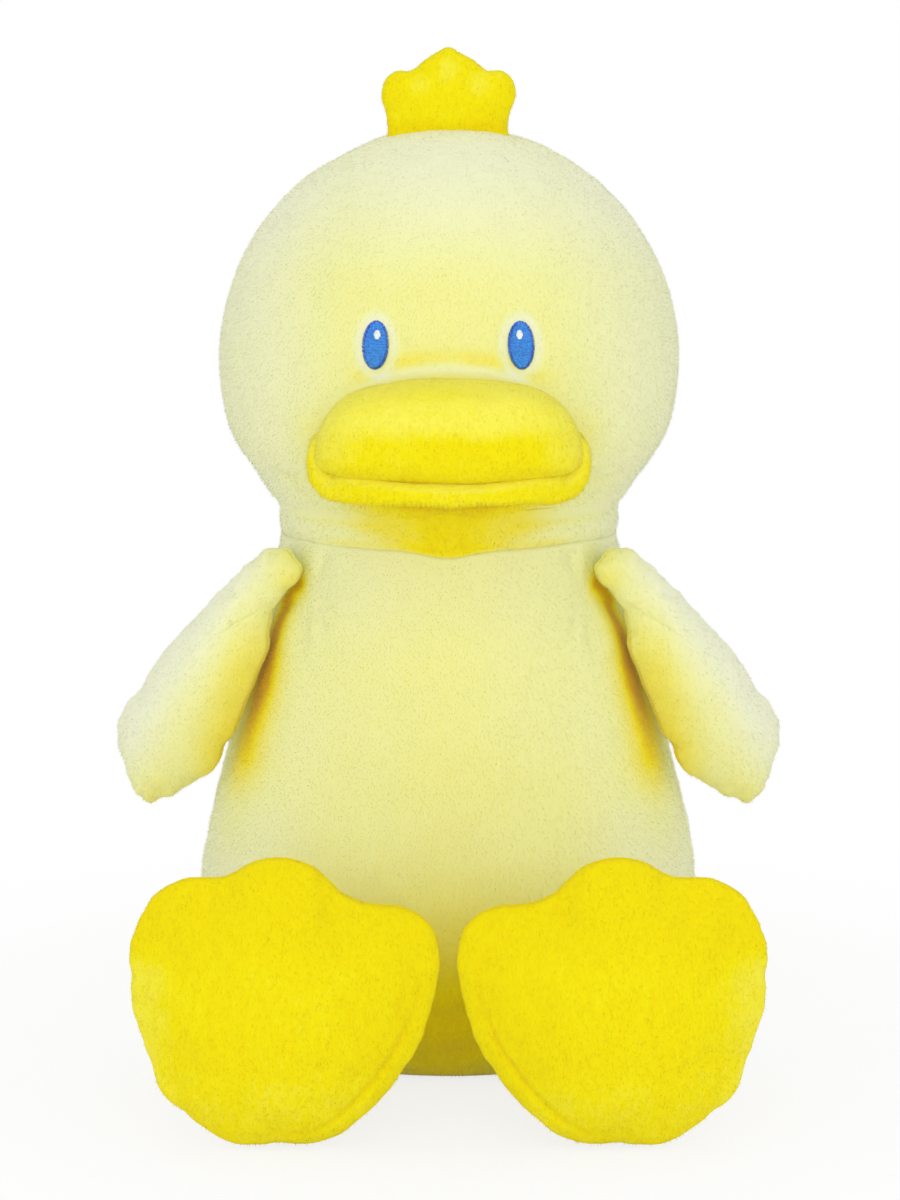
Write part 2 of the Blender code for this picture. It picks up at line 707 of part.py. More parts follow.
def leg_rings(inset, opening, length):
    """The leg about its own axis, from the ball end at the hip forward to the foot."""
    ball = HIP_BALL_RADIUS - inset
    start = LEG_RADIUS - inset
    waist = math.acos(start / ball)
    profile = []
    for step in range(LIMB_LEVEL_STEPS + 1):
        angle = opening + (math.pi / 2 + waist - opening) * step / LIMB_LEVEL_STEPS
        profile.append((ball * math.sin(angle), ball * math.cos(angle)))
    last = LEG_END_RADIUS - inset
    from_y = profile[-1][1]
    for step in range(LIMB_LEVEL_STEPS):
        share = (step + 1) / LIMB_LEVEL_STEPS
        swell = (LEG_RADIUS - LEG_END_RADIUS) * math.sin(math.pi * share) / 2
        radius = profile[LIMB_LEVEL_STEPS][0] * (1 - share) + last * share + swell
        profile.append((radius, from_y + (-length - from_y) * share))
    rings = []
    for radius, y in profile:
        if radius < SEAM_GAP:
            rings.append([Vector((0, y, 0))])
            continue
        rings.append([Vector((radius * math.cos(math.tau * i / LIMB_STEPS), y,
                              radius * math.sin(math.tau * i / LIMB_STEPS)))
                      for i in range(LIMB_STEPS)])
    return rings


def add_leg(name, side, cloth, fibre, body_form):
    """A leg and its foot, carried at the hip."""
    hip = hip_place()
    pivot = add_pivot(name + "_hip", (side * hip.x, hip.y, hip.z))
    length = FOOT_REACH - FOOT_TOP_DEPTH - SEAM_GAP
    opening = math.radians(HIP_OPENING_DEGREES)
    cover = shell_from_rings(leg_rings(0.0, opening, length), leg_rings(CLOTH, opening, length))
    cut(add_object(name + "_leg_cover", cover, cloth, pivot), body_form)
    core = solid_from_rings(leg_rings(FILL_INSET, 0.0, length))
    cut(add_object(name + "_leg_fill", core, fibre, pivot), body_form)

    shares = [Vector(share) * FOOT_HALF_WIDTH for share in FOOT_OUTLINE_SHARES]
    loop = [Vector((side * p.x, p.y)) for p in smooth_loop(shares, FOOT_LOOP_POINTS)]
    lowest = min(p.y for p in loop)
    loop = [Vector((p.x, p.y - lowest)) for p in loop]
    centre = Vector(FOOT_CENTRE_SHARE) * FOOT_HALF_WIDTH
    place = (0, -FOOT_REACH, -HIP_LEVEL)
    pieces = (
        (name + "_foot_sole_panel", pad_panel(loop, centre, FOOT_SOLE_DEPTH, -1), cloth),
        (name + "_foot_top_panel", pad_panel(loop, centre, FOOT_TOP_DEPTH, 1), cloth),
        (name + "_foot_fill", pad_fill(loop, centre, FOOT_SOLE_DEPTH, FOOT_TOP_DEPTH), fibre),
    )
    for piece, shape, material in pieces:
        add_object(piece, shape, material, pivot).location = place


def tail_rings(inset):
    """The tail about its own axis, from inside the body to its tip."""
    rings = []
    steps = len(TAIL_SWELL_SHARES)
    length = TAIL_LENGTH - inset
    for step, swell in enumerate(TAIL_SWELL_SHARES):
        y = -TAIL_SUNK + (length + TAIL_SUNK) * step / steps
        wide = TAIL_HALF_WIDTH * swell - inset
        high = TAIL_HALF_HEIGHT * swell - inset
        rings.append([Vector((wide * math.cos(math.tau * i / LIMB_STEPS), y,
                              high * math.sin(math.tau * i / LIMB_STEPS)))
                      for i in range(LIMB_STEPS)])
    rings.append([Vector((0, length, 0))])
    return rings


def add_tail(cloth, fibre, body_form):
    """The small tail, its root shaped to the back of the body."""
    (_, _, back), _ = body_section(TAIL_LEVEL)
    place = Vector((0, back, TAIL_LEVEL))
    rise = (math.radians(TAIL_RISE_DEGREES), 0, 0)
    cover = add_object("tail_cover", shell_from_rings(tail_rings(0.0), tail_rings(CLOTH)), cloth)
    fill = add_object("tail_fill", solid_from_rings(tail_rings(FILL_INSET)), fibre)
    for obj in (cover, fill):
        obj.location = place
        obj.rotation_euler = rise
        cut(obj, body_form)


def main():
    for obj in list(bpy.data.objects):
        bpy.data.objects.remove(obj, do_unlink=True)
    pale = make_material("pale_velour", PALE_VELOUR)
    yellow = make_material("yellow_velour", YELLOW_VELOUR)
    fibre = make_material("fibre_fill", FIBRE)
    pouch = make_material("pouch_cloth", POUCH_CLOTH)
    blue = make_material("blue_thread", BLUE_THREAD)
    white = make_material("white_thread", WHITE_THREAD)

    bowl = add_ball("head_bowl", HEAD_RADIUS + HEAD_BOWL_CLEARANCE, HEAD_CENTRE, fibre)
    cutters = [bowl]
    hip = hip_place()
    for name, side in (("left", 1), ("right", -1)):
        cutters.append(add_armhole(name, side, pale))
        socket = Vector((side * hip.x, hip.y, hip.z))
        cutters.append(add_ball(name + "_hip_socket", HIP_BALL_RADIUS + HIP_CLEARANCE, socket, pale))
    add_body(pale, fibre, pouch, cutters)
    body_form = add_body_form(pale, cutters)
    add_tail(pale, fibre, body_form)

    neck_pivot = add_pivot("neck_turn", (0, 0, NECK_BOTTOM))
    add_neck(pale, fibre, neck_pivot)
    head_pivot = add_pivot("head_nod", HEAD_CENTRE - Vector((0, 0, NECK_BOTTOM)), 0.0, neck_pivot)
    head_cutter = add_ball("head_form", HEAD_SEAT_RADIUS, (0, 0, 0), pale, HEAD_CUTTER_STEPS,
                           head_pivot)
    add_head(pale, fibre, head_pivot)
    add_eyes(blue, white, head_pivot)
    add_bill(yellow, fibre, head_pivot, head_cutter)
    add_crest(yellow, fibre, head_pivot, head_cutter)

    for name, side in (("left", 1), ("right", -1)):
        add_wing(name, side, pale, fibre, body_form)
        add_leg(name, side, yellow, fibre, body_form)


main()
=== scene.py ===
"""Seated plush duck: its velour, seams, embroidery and stage, dressed over the packed model.

Metres, +Z up. The duck faces -Y and its own left side is at +X.
"""

import itertools
import json
import math

import bpy
import numpy as np
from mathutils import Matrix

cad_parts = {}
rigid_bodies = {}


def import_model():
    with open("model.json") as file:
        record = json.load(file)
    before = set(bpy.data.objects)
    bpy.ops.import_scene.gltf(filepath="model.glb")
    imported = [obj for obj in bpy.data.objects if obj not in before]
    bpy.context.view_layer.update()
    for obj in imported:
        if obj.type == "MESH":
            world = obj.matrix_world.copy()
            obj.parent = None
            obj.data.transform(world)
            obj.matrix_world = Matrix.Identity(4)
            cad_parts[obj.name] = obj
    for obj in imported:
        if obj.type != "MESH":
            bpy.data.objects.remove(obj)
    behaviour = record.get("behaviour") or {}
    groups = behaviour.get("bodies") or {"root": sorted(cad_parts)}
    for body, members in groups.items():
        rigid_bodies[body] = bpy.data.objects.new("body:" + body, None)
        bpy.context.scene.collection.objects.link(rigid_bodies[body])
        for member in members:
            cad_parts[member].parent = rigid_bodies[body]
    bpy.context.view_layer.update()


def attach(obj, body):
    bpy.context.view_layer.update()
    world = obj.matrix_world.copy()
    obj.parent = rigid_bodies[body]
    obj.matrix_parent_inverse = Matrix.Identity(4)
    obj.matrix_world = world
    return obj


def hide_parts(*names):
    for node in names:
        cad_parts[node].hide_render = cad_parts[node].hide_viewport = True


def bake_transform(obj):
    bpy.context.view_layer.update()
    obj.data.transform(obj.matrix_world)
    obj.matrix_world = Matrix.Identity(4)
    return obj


bl_info = {
    "name": "Plush duck dressing",
    "version": (1, 0, 0),
    "blender": (4, 5, 0),
    "location": "3D View > Sidebar > Duck",
    "description": "Velour skins, seams, embroidery and stage for a seated plush duck",
    "category": "Add Mesh",
}

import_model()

# Outlines on one side of the middle, in metres: (out from the middle, up)
WING_OUTLINE = (
    (-0.0112, 0.0055), (-0.0080, 0.0095), (-0.0045, 0.0115), (-0.0005, 0.0112), (0.0045, 0.0074),
    (0.0105, 0.0018), (0.0162, -0.0038), (0.0210, -0.0092), (0.0274, -0.0162), (0.0344, -0.0243),
    (0.0396, -0.0328), (0.0440, -0.0378), (0.0467, -0.0428), (0.0472, -0.0498), (0.0452, -0.0562),
    (0.0420, -0.0642), (0.0378, -0.0678), (0.0317, -0.0660), (0.0240, -0.0614), (0.0208, -0.0592),
    (0.0172, -0.0570), (0.0146, -0.0510), (0.0108, -0.0444), (0.0064, -0.0346), (0.0024, -0.0248),
    (0.0000, -0.0179), (-0.0006, -0.0117), (-0.0044, -0.0045), (-0.0098, 0.0010),
)
FOOT_OUTLINE = (
    (0.0884, 0.0596), (0.0893, 0.0525), (0.0886, 0.0424), (0.0865, 0.0338), (0.0841, 0.0251),
    (0.0808, 0.0165), (0.0755, 0.0107), (0.0686, 0.0052), (0.0630, 0.0018), (0.0563, 0.0003),
    (0.0443, 0.0003), (0.0330, 0.0022), (0.0246, 0.0078), (0.0162, 0.0166), (0.0106, 0.0251),
    (0.0064, 0.0338), (0.0030, 0.0453), (0.0018, 0.0533), (0.0030, 0.0611), (0.0063, 0.0659),
    (0.0122, 0.0692), (0.0205, 0.0700), (0.0272, 0.0720), (0.0327, 0.0767), (0.0377, 0.0808),
    (0.0457, 0.0831), (0.0535, 0.0822), (0.0599, 0.0794), (0.0660, 0.0779), (0.0729, 0.0776),
    (0.0799, 0.0745), (0.0846, 0.0690),
)
CREST_OUTLINE = (
    (0.0, 0.3003), (0.0029, 0.2993), (0.0067, 0.2969), (0.0112, 0.2938), (0.0155, 0.2936),
    (0.0187, 0.2907), (0.0199, 0.2863), (0.0184, 0.2813), (0.0181, 0.2761), (0.0181, 0.2700),
    (0.0120, 0.2655), (0.0, 0.2640),
)
UPPER_BILL_OUTLINE = (
    (0.0, 0.2124), (0.0093, 0.2119), (0.0170, 0.2110), (0.0238, 0.2096), (0.0284, 0.2075),
    (0.0320, 0.2046), (0.0347, 0.2010), (0.0366, 0.1966), (0.0375, 0.1924), (0.0369, 0.1892),
    (0.0340, 0.1870), (0.0275, 0.1852), (0.0183, 0.1838), (0.0091, 0.1825), (0.0, 0.1818),
)
# The lower lip from its upper end to the middle: out, forward, up and half thickness
LIP_PATH = (
    (0.0360, 0.0800, 0.1955, 0.0024), (0.0363, 0.0832, 0.1925, 0.0030), (0.0361, 0.0856, 0.1894, 0.0036),
    (0.0352, 0.0880, 0.1862, 0.0043), (0.0329, 0.0908, 0.1840, 0.0047), (0.0287, 0.0942, 0.1832, 0.0046),
    (0.0225, 0.0973, 0.1831, 0.0041), (0.0161, 0.0994, 0.1828, 0.0036), (0.0087, 0.1009, 0.1825, 0.0032),
    (0.0, 0.1015, 0.1823, 0.0031),
)
# The deep shade that the wing's inner edge throws on the body: out and up
WING_SHADOW = (
    (0.0420, 0.1490), (0.0460, 0.1433), (0.0477, 0.1394), (0.0514, 0.1276), (0.0533, 0.1202),
    (0.0554, 0.1125), (0.0574, 0.1052), (0.0593, 0.0975), (0.0610, 0.0885), (0.0630, 0.0775),
)
# Body levels with the half width, the front depth and the back depth there
BODY_SECTIONS = (
    (0.0, 0.0520, 0.0440, 0.0440), (0.0080, 0.0600, 0.0515, 0.0498), (0.0180, 0.0672, 0.0578, 0.0550),
    (0.0300, 0.0722, 0.0622, 0.0586), (0.0420, 0.0743, 0.0640, 0.0600), (0.0531, 0.0744, 0.0640, 0.0599),
    (0.0686, 0.0720, 0.0622, 0.0586), (0.0778, 0.0698, 0.0608, 0.0575), (0.0932, 0.0658, 0.0583, 0.0556),
    (0.1207, 0.0584, 0.0540, 0.0525), (0.1400, 0.0530, 0.0514, 0.0508), (0.1526, 0.0500, 0.0500, 0.0500),
    (0.1580, 0.0497, 0.0497, 0.0497),
)
SIDES = (("left", 1.0), ("right", -1.0))

# The gathers of each seam: a seed, and the waves in one turn that are mixed together
GATHERS = {
    "lip edge": (7, (61, 67, 74, 83, 52)),
    "crest rim": (11, (9, 13, 17)),
    "crest foot": (12, (7, 9, 12)),
    "side seam": (65, (9, 13, 17)),
    "seat seam": (66, (27, 33, 38, 44)),
    "closing seam": (67, (21, 26, 31)),
    "shoulder": (70, (7, 9, 11, 14)),
    "hip": (71, (8, 11, 13, 17)),
    "wing rim": (91, (19, 23, 29, 31)),
    "wing root": (92, (7, 9, 12)),
    "wing tip": (93, (21, 26, 34)),
    "leg": (101, (9, 12, 15, 19)),
    "foot rim": (111, (23, 31, 37, 43)),
}

# The head, in metres; a pair says where a change starts and where it ends
HEAD_GRID = (190, 340)
HEAD_LUMP = 0.034
HEAD_NAP = (0.0065, 0.0065, 0.0085)
HEAD_TONE = 0.47
FRONT_OF_HEAD = (0.010, 0.030)
CROWN_PAINTED_LIGHT = (0.35, 0.95)
HEAD_FLANK = (0.026, 0.064)
CREST_END = (0.019, 0.023)
CHIN_PILE = (0.1640, 0.1690)
JAW_ANGLES = (104, 124)
JAW_LEVEL = 0.190
JAW_FADE = 0.020
# The bill's shade on the chin: reach to the side, fade and tone of its two parts, and its edges
CHIN_SHADES = ((0.0200, 0.0130, 0.06), (0.0375, 0.0180, 0.34))
CHIN_SHADE_FRONT = (0.026, 0.042)
CHIN_SHADE_TOP = 0.1860
CHIN_SHADE_FOOT = 0.1566
CHIN_SHADE_FADE = 0.0040
LIP_CONTACT = 0.1728
# Cloth gathered over the bill's root: level, bow, width, reach to the side and fade
BILL_RIDGE = (0.2136, 8, 0.0015, 0.0270, 0.010)
BILL_HOLLOW = (0.2168, 9, 0.0026, 0.0250, 0.012)
# Soft folds beside and below the bill and where chin meets neck: path (out, up), width, depth and tone of
# their painted shade
FACE_FOLDS = (
    (((0.036, 0.1795), (0.043, 0.1768), (0.052, 0.1775)), 0.0022, 0.0010, 0.13),
    (((0.028, 0.1742), (0.038, 0.1716), (0.050, 0.1722)), 0.0020, 0.0009, 0.12),
    (((0.018, 0.1710), (0.030, 0.1672), (0.044, 0.1668)), 0.0018, 0.0007, 0.10),
)

# The embroidered eyes, and how the face gives way round them
EYE_OUT = 0.0206
EYE_LEVEL = 0.2202
EYE_HALF_SIZE = (0.00352, 0.00640)
EYE_LEAN = 4.0
EYE_PRESSED = 0.0009
EYE_DOME = 0.00075
EYE_BACK = -0.0012
EYE_DENT_LEVEL = 0.2198
EYE_DENT_WIDTH = 0.0092
EYE_RING_RADIUS = 0.0082
EYE_CLEAR_LEVEL = 0.2205
EYE_CLEAR_WIDTH = 0.0085
EYE_PILE = (0.0066, 0.0086)
UNDER_EYE = (0.0238, 0.2108)
UNDER_EYE_SIZE = (0.0042, 0.02, 0.0020)
SHORTEST_STITCH = 0.0006
# The points of one outline stitch: share of the oval, turn and height
EDGE_STITCH = ((1.07, -0.03, 0.0), (1.02, 0.0, 0.00055), (0.93, 0.03, 0.00070), (0.85, 0.06, 0.00055))
EDGE_STITCHES = 64
HIGHLIGHT_STITCHES = 6
HIGHLIGHT_LEVEL = 0.0030
HIGHLIGHT_REACH = 0.00095
HIGHLIGHT_HEIGHT = 0.00125

# The bill and the crest
BILL_GRID = (200, 44)
BILL_FULLNESS = 0.50
BILL_LEVEL = 0.1970
BILL_HALF_SIZE = (0.0362, 0.0158)
BILL_SIDE = 0.0300
BILL_PAINTED_LIGHT = (0.1962, 0.2030)
BILL_ROOT_PAINTED_SHADE = (-0.0770, -0.0660)
BILL_HIDDEN_ROWS = 14
BILL_DRAWN_IN = 0.10
BILL_DRAWN_UP = 0.18
LIP_GRID = (230, 72)
LIP_WIDTH = 0.0786
LIP_END_ROUND = 0.0045
LIP_END_BACK = 0.0035
LIP_RISE = 0.0042
LIP_RISE_REACH = 0.0350
LIP_RISE_FADE = 0.0140
BARE_INSIDE = 0.0005
BARE_OUTSIDE = 0.0010
CREST_COLUMNS = 200
CREST_RINGS = 22
CREST_CENTRE = (0.0, 0.2800)
CREST_FOOT = 0.2768
CREST_NOTCH = ((0.0112, -0.006, 0.2944), (0.0100, -0.0065, 0.2880))
# Painted light on the swell of each crest lobe: out, up, size and tone
CREST_LOBES = ((0.0, 0.2945, 0.0035, 0.20), (0.0085, 0.2895, 0.0042, 0.18), (-0.0085, 0.2895, 0.0042, 0.18))

# The neck band's section: radius and height outside, then height and distance from the head where it tucks in
NECK_OUTSIDE = (
    (0.0476, 0.1535), (0.0484, 0.1556), (0.0491, 0.1569), (0.0496, 0.1581), (0.0500, 0.1596),
    (0.0502, 0.1614), (0.0501, 0.1630), (0.0500, 0.1642), (0.0501, 0.1652), (0.0505, 0.1662),
    (0.0511, 0.1672),
)
NECK_TUCK = ((0.1686, 0.0002), (0.1696, 0.0), (0.1706, -0.0004))
NECK_CLOTH = 0.0016
NECK_INSIDE_LEVELS = (0.1700, 0.1580)
NECK_INSIDE_END = (0.0405, 0.1545)
NECK_ROWS = (60, 14)
NECK_COLUMNS = 320
NECK_PILE_START = (0.1560, 0.1575)
NECK_PILE_TOP = 0.1672
NECK_BEND = (0.1545, 0.1585)

# The body: rows of its grid, seams, and where the wings, the legs and the tail meet it
SEAT_ROWS = 25
SIDE_ROWS = 126
BOWL_ROWS = 33
FLAT_ROWS = 21
BODY_COLUMNS = 320
BODY_LUMP = 0.036
BODY_NAP = (0.0072, 0.0072, 0.0085)
FRONT_OF_BODY = (0.005, 0.030)
BODY_FLANK = (0.030, 0.066)
BOWL_CLEARANCE = 0.0014
BODY_MEAN_RADIUS = 0.062
WRINKLE_PITCH = 0.0021
SIDE_SEAM_TURN = math.radians(6)
ARM_TURN = math.radians(38)
ARM_LEVEL = 0.1440
CLOSING_SEAM = ((0, 0.056, 0.0780), (0, 0.0525, 0.1180), (0, 0.0505, 0.1490))
CLOSING_GATHER = 0.0045
# The wing's shade on the body along its path: width, and strength
SHADOW_WIDTH = ((0.0, 0.3, 0.7, 1.0), (0.0028, 0.0046, 0.0086, 0.0120))
SHADOW_STRENGTH = ((0.0, 0.05, 0.50, 0.80, 1.0), (0.3, 1.0, 1.10, 0.90, 0.35))
HIP_OUT = 0.0449
HIP_FORWARD = 0.0450
HIP_LEVEL = 0.0360

# The tail and the legs
TAIL_LEVEL = 0.0460
TAIL_ROOT = 0.0598
TAIL_SEAM = 0.0600
TAIL_RISE = math.radians(32)
TAIL_INSIDE = 0.012
TAIL_HALF_SIZE = (0.0188, 0.0142)
# How full each is along its length: shares of the length, and shares of the radius there
TAIL_SWELL = (
    (0, 0.10, 0.30, 0.50, 0.70, 0.82, 0.92, 0.97, 1.0),
    (0.0, 0.92, 1.06, 1.04, 0.88, 0.70, 0.46, 0.28, 0.0),
)
LEG_SWELL = (
    (0, 0.05, 0.12, 0.25, 0.5, 0.8, 0.92, 0.97, 1.0),
    (0.0, 0.85, 1.16, 1.22, 1.14, 1.00, 0.94, 0.70, 0.0),
)
LEG_ROOT = 0.040
LEG_END_INSIDE = 0.008
LEG_GATHERS = (0.0985, 0.060)
LEG_GATHER_WIDTH = 0.007
LEG_BEND = (0.0480, 0.0700)

# The wings and the feet
WING_COLUMNS = 240
WING_RINGS = 40
WING_CENTRE = (0.0140, -0.0160)
WING_ROOT = (0.0530, 0.0268, 0.1455)
WING_SWEEP = math.radians(18)
WING_TIP = (0.041, 0, -0.062)
WING_TIP_SIZE = (0.012, 0.03, 0.012)
WING_TONE_LEVEL = 0.030
FOOT_COLUMNS = 300
FOOT_RINGS = 56
FOOT_CENTRE = (0.0450, 0.0400)
# Short creases that run in from the notches between the toes and from the rim: out, up, and their way
TOE_CREASES = (
    (0.0800, 0.0745, -0.004, -0.010), (0.0885, 0.0500, -0.010, 0.001), (0.0310, 0.0750, 0.003, -0.013),
    (0.0205, 0.0700, 0.004, -0.011), (0.0685, 0.0770, -0.003, -0.014), (0.0030, 0.0380, 0.0130, 0.0006),
    (0.0250, 0.0080, 0.007, 0.006), (0.0800, 0.0170, -0.008, 0.006),
)
# The rim seam's stretch that shows just inside the outline towards the other foot
INNER_SEAM = (
    (0.0072, 0.0500), (0.0085, 0.0400), (0.0140, 0.0300), (0.0215, 0.0190), (0.0290, 0.0100),
    (0.0380, 0.0045), (0.0520, 0.0030),
)
INNER_SEAM_DEPTH = -0.0065

# The velour: where its painted light, plain colour, painted fold shade and deepest painted shade lie on the
# tone scale, and its pattern
VELOUR_STOPS = (0.0, 0.45, 0.80, 1.0)
CLUMP_SCALE = 420.0
FIBRE_SCALE = 1500.0
PATCH_SCALE = 28.0
NAP_SQUASH = 0.35
PILE_RELIEF = 0.0005
SHADE_WEIGHTS = (0.35, 0.45, 0.20)
HEIGHT_WEIGHTS = (0.60, 0.40, 0.0)
# Mottle, nap and clumps of the two velours
PALE_PATTERN = (0.18, 0.5, 380.0)
BRIGHT_PATTERN = (0.58, 0.30, 620.0)
# The embroidery threads
TWIST_SCALE = 1800.0
TWIST_STOPS = (0.35, 0.65)
TWIST_RELIEF = 0.0001
THREAD_MOTTLE = {"eye_thread": 0.16, "eye_edge_thread": 0.35, "highlight_thread": 0.06}
NODE_STEP = 200

# The cloth simulation: the scale and grid of its coarse copy, its run, and the smoothing after it
CLOTH_SCALE = 10.0
CLOTH_ROWS = 45
CLOTH_COLUMNS = 120
CLOTH_FRAMES = 20
CLOTH_PRESSURE = 6.0
CLOTH_STIFFNESS = 6.0
CLOTH_SHEAR = 2.0
CLOTH_BENDING = 0.02
CLOTH_MASS = 0.3
SPREAD_PASSES = 3
DRIFT_PASSES = 60
FINAL_PASSES = 10

# The studio
WHITE = (1.0, 1.0, 1.0, 1.0)
SKY_STRENGTH = 0.56
FLOOR_SIZE = 6.0
FLOOR_LEVEL = -0.0006
SHADOW_REACH = (0.08, 0.30)
LAMP_COLOUR = (1.0, 0.995, 0.98)
AIM_LEVEL = 0.14
# Each lamp's place, power and width
LAMPS = (
    ("key_light", (0.0, -2.1, 1.35), 11.4, 1.6),
    ("low_light", (0.0, -2.2, 0.28), 6.6, 0.9),
    ("left_fill", (1.8, -1.2, 0.5), 5.2, 1.3),
    ("right_fill", (-1.8, -1.2, 0.5), 5.2, 1.3),
    ("top_light", (0.0, 0.3, 2.2), 8.0, 1.6),
    ("back_light", (0.0, 2.1, 0.8), 7.0, 1.6),
)
CAMERA_PLACE = (0.00045, -1.3787, 0.3790)
CAMERA_TILT = math.radians(80.0)
CAMERA_LENS = 140.53
CAMERA_SENSOR = 36.0


def length(name, note, value):
    """A length that a user may change."""
    return bpy.props.FloatProperty(name=name, description=note, default=value, min=0.0,
                                   subtype="DISTANCE", unit="LENGTH", precision=5)


def colour(name, note, red, green, blue):
    """A daylight colour, given as 0 to 255, that a user may change."""
    values = [channel / 255 for channel in (red, green, blue)]
    return bpy.props.FloatVectorProperty(name=name, description=note, size=3, min=0.0, max=1.0,
                                         subtype="COLOR_GAMMA", default=values)


def share(name, note, value, high=1.0):
    """A plain share that a user may change."""
    return bpy.props.FloatProperty(name=name, description=note, default=value, min=0.0, max=high)


class DuckForm(bpy.types.PropertyGroup):
    """Sizes of the stuffed forms."""

    head_radius: length("Head radius", "Radius of the head ball", 0.0680)
    head_level: length("Head level", "Height of the head's middle", 0.2088)
    jaw_pinch: length("Jaw pinch", "How far the jaw draws in above the neck", 0.0026)
    neck_radius: length("Neck radius", "Outside of the neck band", 0.0498)
    neck_seam: length("Neck seam", "Height of the neck seam", 0.1574)
    bill_plane: length("Bill plane", "Distance of the bill's widest outline in front of the middle", 0.0765)
    upper_bill_reach: length("Upper bill reach", "Swell of the upper bill in front of that plane", 0.0265)
    bill_root: length("Bill root", "Radius about the head's middle where the bill's hidden end lies", 0.0652)
    crest_depth: length("Crest depth", "Half thickness of the crest", 0.0062)
    wing_front: length("Wing front", "Swell of the wing towards the front", 0.0140)
    wing_back: length("Wing back", "Swell of the wing towards the back", 0.0115)
    foot_plane: length("Foot plane", "Distance of the foot's rim seam in front of the middle", 0.1116)
    foot_sole: length("Sole swell", "Swell of the foot's sole towards the front", 0.0165)
    foot_top: length("Foot back swell", "Swell of the foot towards the body", 0.0145)
    leg_radius: length("Leg radius", "Radius of the leg tube", 0.0178)
    tail_length: length("Tail length", "Length of the tail outside the body", 0.0335)


class DuckCloth(bpy.types.PropertyGroup):
    """How the velour is sewn and brushed."""

    seam_depth: length("Seam depth", "How deep the seams sink into the pile", 0.0010)
    seam_width: length("Seam width", "Half width of a seam's groove", 0.0012)
    pucker: length("Pucker", "Height of the gathers along a sewn rim", 0.0011)
    lump: length("Stuffing lumps", "Height of the soft lumps of the stuffing", 0.0007)
    nap: length("Nap waves", "Height of the small waves of the brushed pile", 0.00028)
    thread: length("Thread radius", "Radius of the embroidery thread", 0.00022)
    pile_length: length("Pile length", "Length of the pile's blades", 0.0009)
    pile_width: length("Pile width", "Width of the pile's blades", 0.00014)
    pile_density: share("Pile density", "Blades on each square millimetre", 0.78, 3.0)
    satin_pitch: length("Satin pitch", "Distance between the embroidery's threads", 0.00042)
    pale_sheen: share("Pale sheen", "Strength of the pale pile's sheen", 0.26)
    bright_sheen: share("Bright sheen", "Strength of the bright pile's sheen", 0.08)


class DuckColours(bpy.types.PropertyGroup):
    """Colours in daylight."""

    # The painted light tints stand for pile that faces the lamps, the painted shade tints for folds, seams
    # and the shadows of the bill and the wings
    pale_painted_light: colour("Pale, brushed light", "Pale velour where the pile faces the light", 240, 243, 222)
    pale_mid: colour("Pale", "Pale velour", 239, 240, 166)
    pale_painted_shade: colour("Pale, in folds", "Pale velour deep in a fold", 243, 227, 16)
    pale_painted_deep_shade: colour("Pale, under the wings", "Pale velour in the deepest shade", 222, 174, 0)
    bright_painted_light: colour("Bright, brushed light", "Bright velour where the pile faces the light",
                         246, 241, 98)
    bright_mid: colour("Bright", "Bright velour", 240, 226, 6)
    bright_painted_shade: colour("Bright, in folds", "Bright velour deep in a fold", 236, 209, 0)
    bright_painted_deep_shade: colour("Bright, in the seams", "Bright velour in the deepest seam", 214, 166, 0)
    eye_blue: colour("Eye thread", "Blue embroidery thread", 54, 148, 255)
    eye_edge: colour("Eye outline thread", "Darker thread of the eye's outline", 26, 92, 214)
    eye_spark: colour("Highlight thread", "Thread of the eye's highlight", 240, 246, 252)
    floor: colour("Floor", "Plain pale floor", 250, 250, 249)


class DuckSettings(bpy.types.PropertyGroup):
    """Everything about the duck that a user may change."""

    form: bpy.props.PointerProperty(type=DuckForm)
    cloth: bpy.props.PointerProperty(type=DuckCloth)
    colours: bpy.props.PointerProperty(type=DuckColours)


def settings():
    return bpy.context.scene.plush_duck


# Numbers on grids of points


def hashed(cells, seed):
    """A fixed value from -1 to 1 for each whole-numbered cell."""
    mix = cells[..., 0] * 374761393 + cells[..., 1] * 668265263 + cells[..., 2] * 1103515245
    mix = mix + seed * 1442695041
    mix = (mix ^ (mix >> 13)) * 1274126177
    mix = mix ^ (mix >> 16)
    return (mix & 0xFFFF) / 32767.5 - 1.0


def lumps(points, size, seed):
    """Smooth noise from -1 to 1 whose lumps are about this size; size may be one per axis."""
    place = points / np.asarray(size)
    cell = np.floor(place).astype(np.int64)
    part = place - cell
    part = part * part * (3 - 2 * part)
    total = np.zeros(points.shape[:-1])
    for corner in itertools.product((0, 1), repeat=3):
        weight = np.ones(points.shape[:-1])
        for axis, step in enumerate(corner):
            weight = weight * (part[..., axis] if step else 1 - part[..., axis])
        total += weight * hashed(cell + np.array(corner), seed)
    return total


def ramp(value, start, end):
    """0 before start, 1 after end, smooth between."""
    part = np.clip((value - start) / (end - start), 0.0, 1.0)
    return part * part * (3 - 2 * part)


def bell(distance, width):
    return np.exp(-((distance / width) ** 2))


def spot(points, centre, size):
    """A soft spot about a point; size may be one per axis."""
    return np.exp(-np.sum(((points - np.array(centre)) / np.asarray(size)) ** 2, axis=-1))


